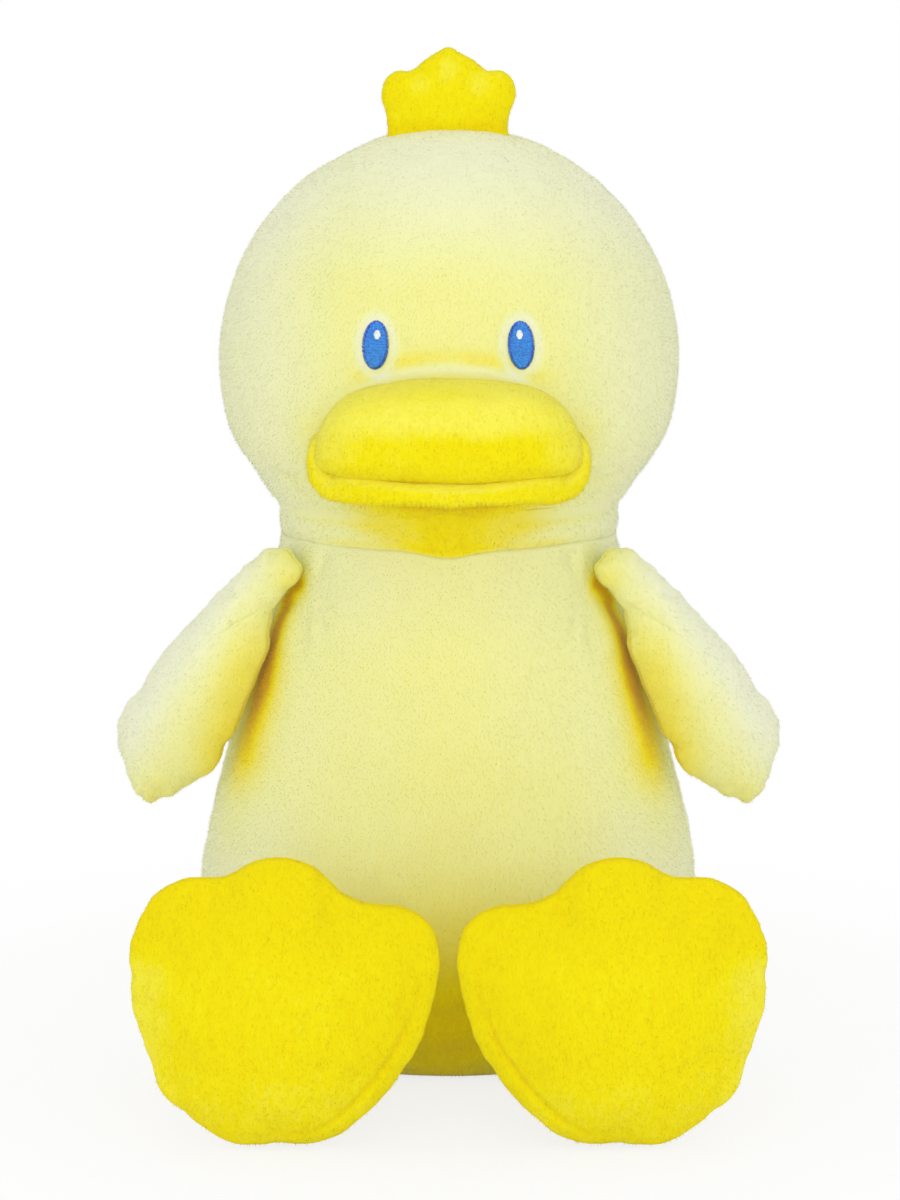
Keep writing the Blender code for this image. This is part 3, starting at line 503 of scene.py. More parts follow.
def along_path(points, path):
    """Each point's distance from a path, and the share of the path's length it is nearest to."""
    path = np.asarray(path, float)
    steps = np.linalg.norm(np.diff(path, axis=0), axis=1)
    starts = np.concatenate([[0.0], np.cumsum(steps)])
    best = np.full(points.shape[:-1], np.inf)
    where = np.zeros(points.shape[:-1])
    for i, span in enumerate(steps):
        line = (path[i + 1] - path[i]) / span
        run = np.clip((points - path[i]) @ line, 0.0, span)
        gap = np.linalg.norm(points - path[i] - run[..., None] * line, axis=-1)
        closer = gap < best
        best = np.where(closer, gap, best)
        where = np.where(closer, (starts[i] + run) / starts[-1], where)
    return best, where


def fold(points, path, width):
    """A crease along a path that fades out at both ends."""
    gap, where = along_path(points, path)
    return bell(gap, width) * np.sin(np.pi * np.clip(where, 0.02, 0.98)) ** 0.6


def gathers(turn, seed, waves):
    """Small creases along a closed seam, from -1 to 1; turn runs from 0 to 1 round it."""
    value = np.zeros_like(turn)
    phase = np.random.default_rng(seed)
    for wave in waves:
        value += phase.uniform(0.5, 1.0) * np.cos(math.tau * (wave * turn + phase.random()))
    return value / np.abs(value).max()


def spaced(points, count, endpoint=True):
    """Points at even steps along a path, and how far along it each lies."""
    steps = np.linalg.norm(np.diff(points[:, :3], axis=0), axis=1)
    run = np.concatenate([[0.0], np.cumsum(steps)])
    even = np.linspace(0, run[-1], count, endpoint=endpoint)
    return np.stack([np.interp(even, run, column) for column in points.T], axis=1), even


def relax(rows, passes):
    """Evens out a run of rows in place, between its first and its last."""
    for _ in range(passes):
        rows[1:-1] = (rows[:-2] + 2 * rows[1:-1] + rows[2:]) / 4


def smooth_outline(points, count):
    """An even closed outline through a few points."""
    points = np.asarray(points, float)
    total = len(points)
    steps = np.linspace(0, 1, 24, endpoint=False)[:, None]
    fine = []
    for i in range(total):
        before, start, end, after = (points[(i + k) % total] for k in (-1, 0, 1, 2))
        curve = 2 * start + (end - before) * steps
        curve = curve + (2 * before - 5 * start + 4 * end - after) * steps**2
        curve = curve + (3 * start - before - 3 * end + after) * steps**3
        fine.append(curve / 2)
    fine = np.concatenate(fine)
    return spaced(np.vstack([fine, fine[:1]]), count, endpoint=False)[0]


def both_halves(outline):
    """A whole outline from its half on one side, first and last point on the middle line."""
    half = np.asarray(outline, float)
    return np.vstack([half, half[-2:0:-1] * (-1, 1)])


def grid_normals(grid, closed_rows=False):
    """Outward directions on a grid whose columns run round and whose rows end in poles."""
    across = np.roll(grid, -1, axis=1) - np.roll(grid, 1, axis=1)
    if closed_rows:
        down = np.roll(grid, -1, axis=0) - np.roll(grid, 1, axis=0)
    else:
        down = np.gradient(grid, axis=0)
    normal = np.cross(across, down)
    size = np.linalg.norm(normal, axis=-1, keepdims=True)
    normal = normal / np.maximum(size, 1e-12)
    if not closed_rows:
        normal[0] = normal[1].mean(0)
        normal[-1] = normal[-2].mean(0)
        for end in (0, -1):
            normal[end] /= np.maximum(np.linalg.norm(normal[end], axis=-1, keepdims=True), 1e-12)
    spread = grid - grid.reshape(-1, 3).mean(0)
    if closed_rows:
        spread = grid - grid.mean(0, keepdims=True)
    if np.sum(normal * spread) < 0:
        normal = -normal
    return normal


def push(grid, height, closed_rows=False):
    """Moves a grid along its outward directions; a pole row keeps one height."""
    height = np.array(height)
    if not closed_rows:
        height[0] = height[0].mean()
        height[-1] = height[-1].mean()
    return grid + grid_normals(grid, closed_rows) * height[..., None]


def pillow(outline, front, back, rings, fullness, centre):
    """A stuffed pad from its outline: rows from the front crown over the rim to the back crown.

    Gives the grid in (out, towards the back, up) and each column's share round the rim.
    """
    middle = np.array(centre)
    turn = np.linspace(-np.pi / 2, np.pi / 2, 2 * rings + 1)
    grid = np.zeros((len(turn), len(outline), 3))
    for i, angle in enumerate(turn):
        spread = math.cos(angle)
        swell = front if angle < 0 else back
        rise = math.copysign(abs(math.sin(angle)) ** fullness, angle) * swell
        arm = (outline - middle) * spread
        grid[i, :, 0] = middle[0] + arm[:, 0]
        grid[i, :, 1] = rise
        grid[i, :, 2] = middle[1] + arm[:, 1]
    column = np.repeat(np.linspace(0, 1, len(outline), endpoint=False)[None], len(turn), axis=0)
    return grid, column


def beside_rows(grid, rows):
    """The sum of the rows before and after each of these."""
    return grid[rows.start - 1:rows.stop - 1] + grid[rows.start + 1:(rows.stop + 1) or None]


def even_swell(grid, outline, front, back, reach):
    """Swells a pad by each point's distance from its rim, so that a bent outline makes no crease."""
    around = np.vstack([outline, outline[:1]])
    rim = np.stack([around[:, 0], np.zeros(len(around)), around[:, 1]], axis=1)
    gap, _ = along_path(grid * (1, 0, 1), rim)
    rise = np.sqrt(1 - (1 - np.clip(gap / reach, 0, 1)) ** 2)
    half = len(grid) // 2
    for _ in range(12):
        for rows in (slice(1, half), slice(half + 1, -1)):
            sides = np.roll(rise[rows], 1, axis=1) + np.roll(rise[rows], -1, axis=1)
            rise[rows] = (beside_rows(rise, rows) + sides) / 4
        rise[0], rise[-1] = rise[1].mean(), rise[-2].mean()
    side = np.sign(np.arange(len(grid)) - half)[:, None]
    swell = np.where(side < 0, front, back)
    return np.stack([grid[..., 0], side * swell * rise, grid[..., 2]], axis=-1)


def blown_up(coarse, held):
    """A coarse pad after a cloth simulation with inner pressure; held says how far sewing pins it."""
    rows, columns = coarse.shape[:2]
    cloth = make_piece("pad_cloth", coarse * CLOTH_SCALE, np.zeros((rows, columns)),
                       finish_named("pale_plush"))
    if held is not None:
        sewn = cloth.vertex_groups.new(name="sewn")
        for i, weight in enumerate(held.reshape(-1)[columns - 1:(rows - 1) * columns + 1]):
            sewn.add([i], float(weight), "REPLACE")
    step = cloth.modifiers.new("stuffing", "CLOTH")
    fabric = step.settings
    fabric.quality = 5
    fabric.mass = CLOTH_MASS
    fabric.tension_stiffness = fabric.compression_stiffness = CLOTH_STIFFNESS
    fabric.shear_stiffness = CLOTH_SHEAR
    fabric.bending_stiffness = CLOTH_BENDING
    fabric.use_pressure = True
    fabric.uniform_pressure_force = CLOTH_PRESSURE
    fabric.effector_weights.gravity = 0.0
    if held is not None:
        fabric.vertex_group_mass = "sewn"
    step.collision_settings.use_collision = False
    step.point_cache.frame_start, step.point_cache.frame_end = 1, CLOTH_FRAMES
    for moment in range(1, CLOTH_FRAMES + 1):
        bpy.context.scene.frame_set(moment)
    ready = cloth.evaluated_get(bpy.context.evaluated_depsgraph_get())
    blown = ready.to_mesh()
    places = np.empty(len(blown.vertices) * 3)
    blown.vertices.foreach_get("co", places)
    ready.to_mesh_clear()
    bpy.data.objects.remove(cloth)
    bpy.context.scene.frame_set(1)
    places = places.reshape(-1, 3) / CLOTH_SCALE
    body = places[1:-1].reshape(rows - 2, columns, 3)
    ends = [np.tile(places[k], (1, columns, 1)) for k in (0, -1)]
    return np.concatenate([ends[0], body, ends[1]])


def stuff_pad(grid, front, back, gather, held=None):
    """Blows a sewn pad up by cloth simulation, from a coarser copy, and keeps its outline and depth.

    gather is the share that is kept of how far the sewn rim draws in and out.
    """
    half, count = len(grid) // 2, grid.shape[1]
    pick = np.unique(np.linspace(0, len(grid) - 1, CLOTH_ROWS).round().astype(int))
    turns = np.linspace(0, count, CLOTH_COLUMNS, endpoint=False).round().astype(int)
    coarse = grid[pick][:, turns]
    moved = blown_up(coarse, None if held is None else held[pick][:, turns]) - coarse
    # Back to the fine grid, smoothly
    wide = np.empty((len(pick), count, 3))
    for i, k in itertools.product(range(len(pick)), range(3)):
        round_again = np.append(moved[i, :, k], moved[i, 0, k])
        wide[i, :, k] = np.interp(np.arange(count), np.append(turns, count), round_again)
    fine = np.empty_like(grid)
    for j, k in itertools.product(range(count), range(3)):
        fine[:, j, k] = np.interp(np.arange(len(grid)), pick, wide[:, j, k])
    for _ in range(SPREAD_PASSES):
        fine = (np.roll(fine, 1, axis=1) + 2 * fine + np.roll(fine, -1, axis=1)) / 4
        relax(fine, 1)
    # The outline stays where it was cut; only its small gathers move
    drift = fine[half]
    for _ in range(DRIFT_PASSES):
        drift = (np.roll(drift, 1, axis=0) + 2 * drift + np.roll(drift, -1, axis=0)) / 4
    spread = np.cos(np.linspace(-np.pi / 2, np.pi / 2, len(grid)))[:, None, None]
    result = grid + (fine - drift * spread) * (gather, 1.0, gather)
    for _ in range(FINAL_PASSES):
        beside = np.roll(result, 1, axis=1) + np.roll(result, -1, axis=1)
        for rows in (slice(2, half - 3), slice(half + 4, -2)):
            result[rows] = (4 * result[rows] + beside_rows(result, rows) + beside[rows]) / 8
    for rows, swell in ((slice(0, half), front), (slice(half + 1, None), back)):
        result[rows, :, 1] *= swell / np.abs(result[rows, :, 1]).max()
    return result


def rim_distance(grid, rim_row):
    """Distance along each column from the row that holds the rim seam."""
    steps = np.linalg.norm(np.diff(grid, axis=0), axis=-1)
    run = np.concatenate([np.zeros((1, grid.shape[1])), np.cumsum(steps, axis=0)])
    return run - run[rim_row]


def put(name, data):
    """A new object in the scene that holds this data."""
    made = bpy.data.objects.new(name, data)
    bpy.context.scene.collection.objects.link(made)
    return made


def make_piece(name, grid, tone, material, closed_rows=False, pile=None):
    """A closed mesh from a grid, with the tone of the cloth and its pile stored at each point."""
    rows, columns = grid.shape[:2]
    if closed_rows:
        points = grid.reshape(-1, 3)
        pick = np.arange(rows * columns)
        index = np.arange(rows * columns).reshape(rows, columns)
        upper, lower = index, np.roll(index, -1, axis=0)
    else:
        points = np.vstack([grid[0].mean(0), grid[1:-1].reshape(-1, 3), grid[-1].mean(0)])
        pick = np.arange(columns - 1, (rows - 1) * columns + 1)
        index = 1 + np.arange((rows - 2) * columns).reshape(rows - 2, columns)
        upper, lower = index[:-1], index[1:]
    quads = np.stack([upper, np.roll(upper, -1, axis=1), np.roll(lower, -1, axis=1), lower], axis=-1)
    faces = quads.reshape(-1, 4).tolist()
    if not closed_rows:
        last = len(points) - 1
        for j in range(columns):
            after = (j + 1) % columns
            faces.append([0, int(index[0, after]), int(index[0, j])])
            faces.append([last, int(index[-1, j]), int(index[-1, after])])
    mesh = bpy.data.meshes.new(name)
    mesh.from_pydata(points.tolist(), [], faces)
    if signed_volume(points, quads.reshape(-1, 4)) < 0:
        mesh.flip_normals()
    for key, values in (("Tone", tone), ("Pile", np.ones_like(tone) if pile is None else pile)):
        layer = mesh.attributes.new(key, "FLOAT", "POINT")
        kept = values.reshape(-1)[pick]
        layer.data.foreach_set("value", np.clip(kept, 0, 1).astype(np.float32))
    mesh.shade_smooth()
    mesh.materials.append(material)
    mesh.update()
    return put(name, mesh)


def signed_volume(points, quads):
    """Positive where the quads face outwards."""
    a, b, c, d = (points[quads[:, k]] for k in range(4))
    first = np.einsum("ij,ij->i", a, np.cross(b, c))
    second = np.einsum("ij,ij->i", a, np.cross(c, d))
    return float((first + second).sum())


# Materials


def linear(channel):
    """The linear value of one daylight channel."""
    return channel / 12.92 if channel <= 0.04045 else ((channel + 0.055) / 1.055) ** 2.4


def linear_colour(values):
    return (*[linear(channel) for channel in values], 1.0)


def add(tree, kind, *feeds, named=None, **settings):
    """A node to the right of the last one; each feed is a socket to link, a plain value or None."""
    made = tree.nodes.new(kind)
    made.location = (NODE_STEP * len(tree.nodes), 0)
    for key, value in settings.items():
        setattr(made, key, value)
    for key, feed in (*enumerate(feeds), *(named or {}).items()):
        if isinstance(feed, bpy.types.NodeSocket):
            tree.links.new(feed, made.inputs[key])
        elif feed is not None:
            made.inputs[key].default_value = feed
    return made


def new_tree(name, kind, inputs, outputs):
    """An empty node group with its named inputs and outputs, and the nodes at its two ends."""
    tree = bpy.data.node_groups.new(name, kind)
    for way, rows in (("INPUT", inputs), ("OUTPUT", outputs)):
        for title, sort, value in rows:
            socket = tree.interface.new_socket(title, in_out=way, socket_type="NodeSocket" + sort)
            if value is not None:
                socket.default_value = value
    return tree, add(tree, "NodeGroupInput").outputs, add(tree, "NodeGroupOutput").inputs


def plain_material(name, values):
    """A new material, its tree and its shader, with plain values on the shader."""
    material = bpy.data.materials.new(name)
    material.use_nodes = True
    shader = material.node_tree.nodes["Principled BSDF"]
    for key, value in values.items():
        shader.inputs[key].default_value = value
    return material, material.node_tree, shader


def shade_ramp(tree, amount, places, tints):
    """The colour for an amount, between daylight tints that lie at these places."""
    made = add(tree, "ShaderNodeValToRGB", amount)
    stops = made.color_ramp.elements
    for place in places[1:-1]:
        stops.new(place)
    for stop, place, tint in zip(stops, places, tints):
        stop.position = place
        stop.color = linear_colour(tint)
    return made.outputs["Color"]


def raise_surface(tree, shader, height, strength, distance):
    """Small relief over a surface."""
    bump = add(tree, "ShaderNodeBump", named={"Height": height, "Strength": strength, "Distance": distance})
    tree.links.new(bump.outputs["Normal"], shader.inputs["Normal"])


def pile_group():
    """Brushed short pile: its shade and its height, from places on the piece."""
    if "short_pile" in bpy.data.node_groups:
        return bpy.data.node_groups["short_pile"]
    tree, given, result = new_tree(
        "short_pile", "ShaderNodeTree",
        (("Place", "Vector", None), ("Clumps", "Float", CLUMP_SCALE), ("Fibres", "Float", FIBRE_SCALE),
         ("Nap", "Float", NAP_SQUASH), ("Patches", "Float", PATCH_SCALE)),
        (("Shade", "Float", None), ("Height", "Float", None)),
    )
    squash = add(tree, "ShaderNodeCombineXYZ", 1.0, 1.0, given["Nap"])
    brushed = add(tree, "ShaderNodeVectorMath", given["Place"], squash.outputs[0], operation="MULTIPLY")
    noises = []
    for name, detail, place in (("Clumps", 2.0, brushed.outputs[0]), ("Fibres", 1.0, brushed.outputs[0]),
                                ("Patches", 2.0, given["Place"])):
        noises.append(add(tree, "ShaderNodeTexNoise", named={
            "Vector": place, "Scale": given[name], "Detail": detail, "Roughness": 0.55,
        }))
    for output, weights in (("Shade", SHADE_WEIGHTS), ("Height", HEIGHT_WEIGHTS)):
        total = 0.0
        for noise, weight in zip(noises, weights):
            total = add(tree, "ShaderNodeMath", noise.outputs["Fac"], weight, total,
                        operation="MULTIPLY_ADD").outputs[0]
        tree.links.new(total, result[output])
    return tree


def velour(name, tints, sheen, mottle, nap, clumps):
    """Short-pile velour that is paler where brushed to the light and deeper in its folds."""
    material, tree, shader = plain_material(name, {
        "Roughness": 0.95, "Specular IOR Level": 0.15,
        "Sheen Weight": sheen, "Sheen Roughness": 0.45, "Sheen Tint": (1.0, 1.0, 0.94, 1.0),
    })
    place = add(tree, "ShaderNodeTexCoord").outputs["Object"]
    pile = add(tree, "ShaderNodeGroup", node_tree=pile_group(), named={
        "Place": place, "Nap": nap, "Clumps": clumps,
    })
    tone = add(tree, "ShaderNodeAttribute", attribute_name="Tone").outputs["Fac"]
    drift = add(tree, "ShaderNodeMath", pile.outputs["Shade"], mottle, -mottle / 2, operation="MULTIPLY_ADD")
    total = add(tree, "ShaderNodeMath", tone, drift.outputs[0])
    tree.links.new(shade_ramp(tree, total.outputs[0], VELOUR_STOPS, tints), shader.inputs["Base Color"])
    raise_surface(tree, shader, pile.outputs["Height"], 0.40, PILE_RELIEF)
    return material


def thread_material(name, values, mottle):
    """Twisted embroidery thread with a soft gloss."""
    material, tree, shader = plain_material(name, {"Roughness": 0.45, "Sheen Weight": 0.25})
    place = add(tree, "ShaderNodeTexCoord").outputs["Object"]
    twist = add(tree, "ShaderNodeTexNoise", named={"Vector": place, "Scale": TWIST_SCALE, "Detail": 1.0})
    darker = [v * (1 - mottle) for v in values]
    lighter = [min(1.0, v * (1 + mottle * 0.5)) for v in values]
    shade = shade_ramp(tree, twist.outputs["Fac"], TWIST_STOPS, (darker, lighter))
    tree.links.new(shade, shader.inputs["Base Color"])
    raise_surface(tree, shader, twist.outputs["Fac"], 0.4, TWIST_RELIEF)
    return material


def finish_named(name):
    """One of the duck's finishes, made the first time that it is asked for."""
    if name in bpy.data.materials:
        return bpy.data.materials[name]
    tint, cloth = settings().colours, settings().cloth
    pale = (tint.pale_painted_light, tint.pale_mid, tint.pale_painted_shade, tint.pale_painted_deep_shade)
    bright = (tint.bright_painted_light, tint.bright_mid, tint.bright_painted_shade, tint.bright_painted_deep_shade)
    if name == "pale_plush":
        return velour(name, pale, cloth.pale_sheen, *PALE_PATTERN)
    if name == "bright_plush":
        return velour(name, bright, cloth.bright_sheen, *BRIGHT_PATTERN)
    threads = {"eye_thread": tint.eye_blue, "eye_edge_thread": tint.eye_edge,
               "highlight_thread": tint.eye_spark}
    return thread_material(name, threads[name], THREAD_MOTTLE[name])


# Threads and pile


def end_tree(tree, shape, material, result):
    """Makes the copies real, gives them their material and ends the tree."""
    real = add(tree, "GeometryNodeRealizeInstances", shape)
    dressed = add(tree, "GeometryNodeSetMaterial", named={"Geometry": real.outputs[0], "Material": material})
    tree.links.new(dressed.outputs[0], result[0])
    return tree


def thread_tree():
    """Round threads that follow paths."""
    if "laid_threads" in bpy.data.node_groups:
        return bpy.data.node_groups["laid_threads"]
    tree, given, result = new_tree(
        "laid_threads", "GeometryNodeTree",
        (("Path", "Geometry", None), ("Thickness", "Float", 0.0002), ("Thread", "Material", None)),
        (("Threads", "Geometry", None),),
    )
    ring = add(tree, "GeometryNodeCurvePrimitiveCircle",
               named={"Resolution": 5, "Radius": given["Thickness"]})
    tube = add(tree, "GeometryNodeCurveToMesh", named={
        "Curve": given["Path"], "Profile Curve": ring.outputs["Curve"], "Fill Caps": True,
    })
    return end_tree(tree, tube.outputs[0], given["Thread"], result)


def pile_tree():
    """Short blades of pile that stand on a skin and lean the way that it is brushed."""
    if "pile_blades" in bpy.data.node_groups:
        return bpy.data.node_groups["pile_blades"]
    tree, given, result = new_tree(
        "pile_blades", "GeometryNodeTree",
        (("Skin", "Geometry", None), ("Density", "Float", 700000.0), ("Length", "Float", 0.0013),
         ("Width", "Float", 0.0002), ("Lean", "Float", 0.9), ("Scatter", "Float", 0.22),
         ("Seed", "Int", 1), ("Cloth", "Material", None)),
        (("Blades", "Geometry", None),),
    )
    covered = add(tree, "GeometryNodeInputNamedAttribute", data_type="FLOAT", named={"Name": "Pile"})
    amount = add(tree, "ShaderNodeMath", given["Density"], covered.outputs["Attribute"], operation="MULTIPLY")
    places = add(tree, "GeometryNodeDistributePointsOnFaces", distribute_method="RANDOM", named={
        "Mesh": given["Skin"], "Density": amount.outputs[0], "Seed": given["Seed"],
    })
    # Each blade stands on its face, leans down by Lean and strays by Scatter
    down = add(tree, "ShaderNodeMath", given["Lean"], -1.0, operation="MULTIPLY")
    brushed = add(tree, "ShaderNodeCombineXYZ", 0.0, 0.0, down.outputs[0])
    stray = add(tree, "FunctionNodeRandomValue", data_type="FLOAT_VECTOR",
                named={"Min": (-1.0, -1.0, -1.0), "Max": (1.0, 1.0, 1.0)})
    spread = add(tree, "ShaderNodeVectorMath", stray.outputs["Value"], operation="SCALE",
                 named={"Scale": given["Scatter"]})
    leaning = add(tree, "ShaderNodeVectorMath", places.outputs["Normal"], brushed.outputs[0])
    heading = add(tree, "ShaderNodeVectorMath", leaning.outputs[0], spread.outputs[0])
    aim = add(tree, "FunctionNodeAlignRotationToVector", axis="Z", named={"Vector": heading.outputs[0]})
    # The random node's third and fourth inputs are the least and the most of a plain number
    tall = add(tree, "FunctionNodeRandomValue", data_type="FLOAT", named={2: 0.55, 3: 1.15, "Seed": 3})
    reach = add(tree, "ShaderNodeMath", tall.outputs[1], given["Length"], operation="MULTIPLY")
    size = add(tree, "ShaderNodeCombineXYZ", given["Width"], given["Width"], reach.outputs[0])
    blade = add(tree, "GeometryNodeMeshCone", fill_type="NGON", named={
        "Vertices": 3, "Radius Top": 0.0, "Radius Bottom": 0.5, "Depth": 1.0,
    })
    copies = add(tree, "GeometryNodeInstanceOnPoints", named={
        "Points": places.outputs["Points"], "Instance": blade.outputs["Mesh"],
        "Rotation": aim.outputs[0], "Scale": size.outputs[0],
    })
    return end_tree(tree, copies.outputs[0], given["Cloth"], result)


def run_tree(name, data, tree, values):
    """Runs a tree with these inputs over some data and keeps the result as one plain mesh."""
    carrier = put(name + "_carrier", data)
    step = carrier.modifiers.new("maker", "NODES")
    step.node_group = tree
    for item in tree.interface.items_tree:
        if item.in_out == "INPUT" and item.name in values:
            step[item.identifier] = values[item.name]
    bpy.context.view_layer.update()
    ready = carrier.evaluated_get(bpy.context.evaluated_depsgraph_get())
    mesh = bpy.data.meshes.new_from_object(ready)
    carrier.modifiers.remove(step)
    bpy.data.objects.remove(carrier)
    if not mesh.polygons:
        raise RuntimeError(name + " came out empty")
    mesh.name = name
    mesh.shade_smooth()
    return put(name, mesh)


def lay_threads(name, paths, thickness, finish):
    """Threads along a set of paths, as one plain mesh."""
    curve = bpy.data.curves.new(name + "_path", "CURVE")
    curve.dimensions = "3D"
    for path in paths:
        spline = curve.splines.new("POLY")
        spline.points.add(len(path) - 1)
        flat = np.concatenate([np.asarray(path), np.ones((len(path), 1))], axis=1)
        spline.points.foreach_set("co", flat.reshape(-1))
    piece = run_tree(name, curve, thread_tree(), {"Thickness": thickness, "Thread": finish_named(finish)})
    bpy.data.curves.remove(curve)
    return piece


def grow_pile(skin, seed):
    """A plain mesh of pile blades over one skin."""
    cloth = settings().cloth
    return run_tree(skin.name.replace("_skin", "_pile"), skin.data, pile_tree(), {
        "Density": cloth.pile_density * 1e6, "Length": cloth.pile_length, "Width": cloth.pile_width,
        "Seed": seed, "Cloth": skin.data.materials[0],
    })


def finish_skin(skin, slot, fill, nodes, body, other=None, start=None, end=None):
    """Gives a skin its pile, its body or the two that it bends between, and the nodes it stands for."""
    pile = grow_pile(skin, len(skin.name) + len(nodes))
    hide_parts(*nodes)
    for piece in (skin, pile):
        if other:
            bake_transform(piece)
        else:
            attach(piece, body)


# Forms


def parts(points):
    """Each point's distance out from the middle, its way forward and its height."""
    return np.abs(points[..., 0]), -points[..., 1], points[..., 2]


def below(value, edge, fade):
    """1 from this far below an edge, 0 above the edge, smooth between."""
    return ramp(edge - value, 0.0, fade)


def round_turn(count):
    return np.linspace(0, math.tau, count, endpoint=False)


def soft_lumps(points, size, weight, waves, seed):
    """Lumps of the stuffing and small waves of the brushed pile."""
    cloth = settings().cloth
    return lumps(points, size, seed) * cloth.lump * weight + lumps(points, waves, seed + 1) * cloth.nap


def head_point(polar, azimuth):
    """A point on the head ball; polar from the crown, azimuth 0 at +X and a quarter at the back."""
    form = settings().form
    jaw = ramp(np.asarray(polar), *(math.radians(angle) for angle in JAW_ANGLES))
    radius = form.head_radius - form.jaw_pinch * jaw
    return np.stack([
        radius * np.sin(polar) * np.cos(azimuth),
        radius * np.sin(polar) * np.sin(azimuth),
        form.head_level + radius * np.cos(polar),
    ], axis=-1)


def face_point(x, z, out=0.0):
    """The point of the face at this width and height."""
    form = settings().form
    radius = form.head_radius + out
    depth = math.sqrt(max(radius**2 - x**2 - (z - form.head_level) ** 2, 0.0))
    return (x, -depth, z)


def under_bill_shade(points):
    """The saturated shade that the bill throws on the chin and the neck."""
    _, forward, level = parts(points)
    across = np.abs(points[..., 0] + 0.0008 * lumps(points, 0.006, 15))
    front = ramp(forward, *CHIN_SHADE_FRONT) * below(level, CHIN_SHADE_TOP, CHIN_SHADE_FADE)
    foot = CHIN_SHADE_FOOT + 0.0030 * ramp(across, 0.0, 0.022)
    above = ramp(level - foot, -0.0014, CHIN_SHADE_FADE)
    narrow = 0.0050 * below(level, 0.1730, 0.0150)
    broad = sum(below(across, reach - narrow, fade) * tone for reach, fade, tone in CHIN_SHADES)
    contact = 0.07 * bell(level - LIP_CONTACT, 0.0012) * below(across, 0.024, 0.012)
    return (broad + contact) * front * above


def outside_bill(points):
    """Distance of each point from the upper bill's outline, seen from the front."""
    wide, high = BILL_HALF_SIZE
    across = points[..., 0] / wide
    up = (points[..., 2] - BILL_LEVEL) / high
    power = np.where(up > 0, 2.0, 3.2)
    reach = (np.abs(across) ** power + np.abs(up) ** power) ** (1 / power)
    scale = np.where(np.abs(across) > np.abs(up), BILL_SIDE, high)
    return (reach - 1) * scale


def bowed_band(grid, front, level, bend, width, reach, fade):
    """A soft band over the bill's root that bows down towards both sides."""
    across, _, up = parts(grid)
    bow = across**2 + 0.00002 * lumps(grid, 0.008, 16)
    return bell(up - level + bend * bow, width) * front * below(across, reach, fade)


def dress_head():
    """The head's velour ball with its face folds, seam, eye dents and chin."""
    form, cloth = settings().form, settings().cloth
    rows, columns = HEAD_GRID
    polar = np.linspace(0, np.pi, rows)[:, None] * np.ones(columns)
    azimuth = round_turn(columns)[None] * np.ones((rows, 1))
    grid = head_point(polar, azimuth)
    across, forward, up = parts(grid)
    front = ramp(forward, *FRONT_OF_HEAD)
    height = soft_lumps(grid, HEAD_LUMP, 0.8, HEAD_NAP, 3)
    height += lumps(grid, 0.0034, 14) * cloth.nap * 0.4
    # Painted light: paler at the crown, where the light from above falls, and at the flanks; painted shade
    # makes the face warmer
    jaw = below(up, JAW_LEVEL, JAW_FADE)
    tone = HEAD_TONE + 0.05 * lumps(grid, 0.030, 5)
    tone -= 0.30 * ramp((up - form.head_level) / form.head_radius, *CROWN_PAINTED_LIGHT)
    tone -= 0.26 * ramp(across, *HEAD_FLANK) * (1 - jaw)
    tone += 0.02 * spot(grid, (0, -0.066, 0.232), (0.030, 0.03, 0.016))
    # The seam from side to side over the crown, with painted shade in its groove
    seam = bell(forward, cloth.seam_width) * ramp(across, *CREST_END)
    height -= seam * cloth.seam_depth * 0.6
    tone += 0.10 * seam
    # Cloth gathered over the root of the bill: a ridge with a painted highlight, a hollow above it with
    # painted shade, and painted shade just beside the bill's lower outline
    gap = outside_bill(grid)
    ridge, hollow = (bowed_band(grid, front, *band) for band in (BILL_RIDGE, BILL_HOLLOW))
    clear = 1 - bell(np.hypot(across - EYE_OUT, up - EYE_CLEAR_LEVEL), EYE_CLEAR_WIDTH)
    height += (ridge * 0.0010 - hollow * 0.0006) * clear
    tone += 0.18 * hollow * (1 - 0.4 * bell(across, 0.006)) - 0.27 * ridge
    tone += 0.12 * front * bell(gap - 0.0025, 0.0050) * below(up, 0.206, 0.012)
    # Dents round the eyes, where the pile gives way, and a paler ring round each
    pile = ramp(up, *CHIN_PILE) * ramp(gap, 0.0, 0.001) ** (forward > 0)
    for _, side in SIDES:
        eye = np.array(face_point(side * EYE_OUT, EYE_DENT_LEVEL))
        away = np.linalg.norm((grid - eye) * (1.55, 1.0, 1.0), axis=-1)
        height -= 0.0011 * bell(away, EYE_DENT_WIDTH)
        tone -= 0.34 * bell(away - EYE_RING_RADIUS, 0.0016)
        pile = pile * ramp(away, *EYE_PILE)
        # Painted shade in the dent under each eye and in the soft face folds
        under = spot(grid, face_point(side * UNDER_EYE[0], UNDER_EYE[1]), UNDER_EYE_SIZE)
        height -= 0.0006 * under
        tone += 0.14 * under
        for path, width, depth, deep in FACE_FOLDS:
            crease = fold(grid, [face_point(side * out, level) for out, level in path], width)
            height -= crease * depth
            tone += crease * deep
    # Towards the jaw the tone runs into the body's painted light and shade, and the bill's painted shadow
    # falls on the chin
    tone = tone * (1 - jaw) + (body_tone(grid) + tone - HEAD_TONE) * jaw + under_bill_shade(grid)
    piece = make_piece("head_skin", push(grid, height), tone, finish_named("pale_plush"), pile=pile)
    finish_skin(piece, "pale_velour", 0.9, ("head_front_panel", "head_back_panel", "head_fill"), "head")


def root_depth(across, level):
    """Where the bill's hidden end lies behind the face, in front of the middle."""
    form = settings().form
    return np.sqrt(np.maximum(form.bill_root**2 - across**2 - (level - form.head_level) ** 2, 0.0))


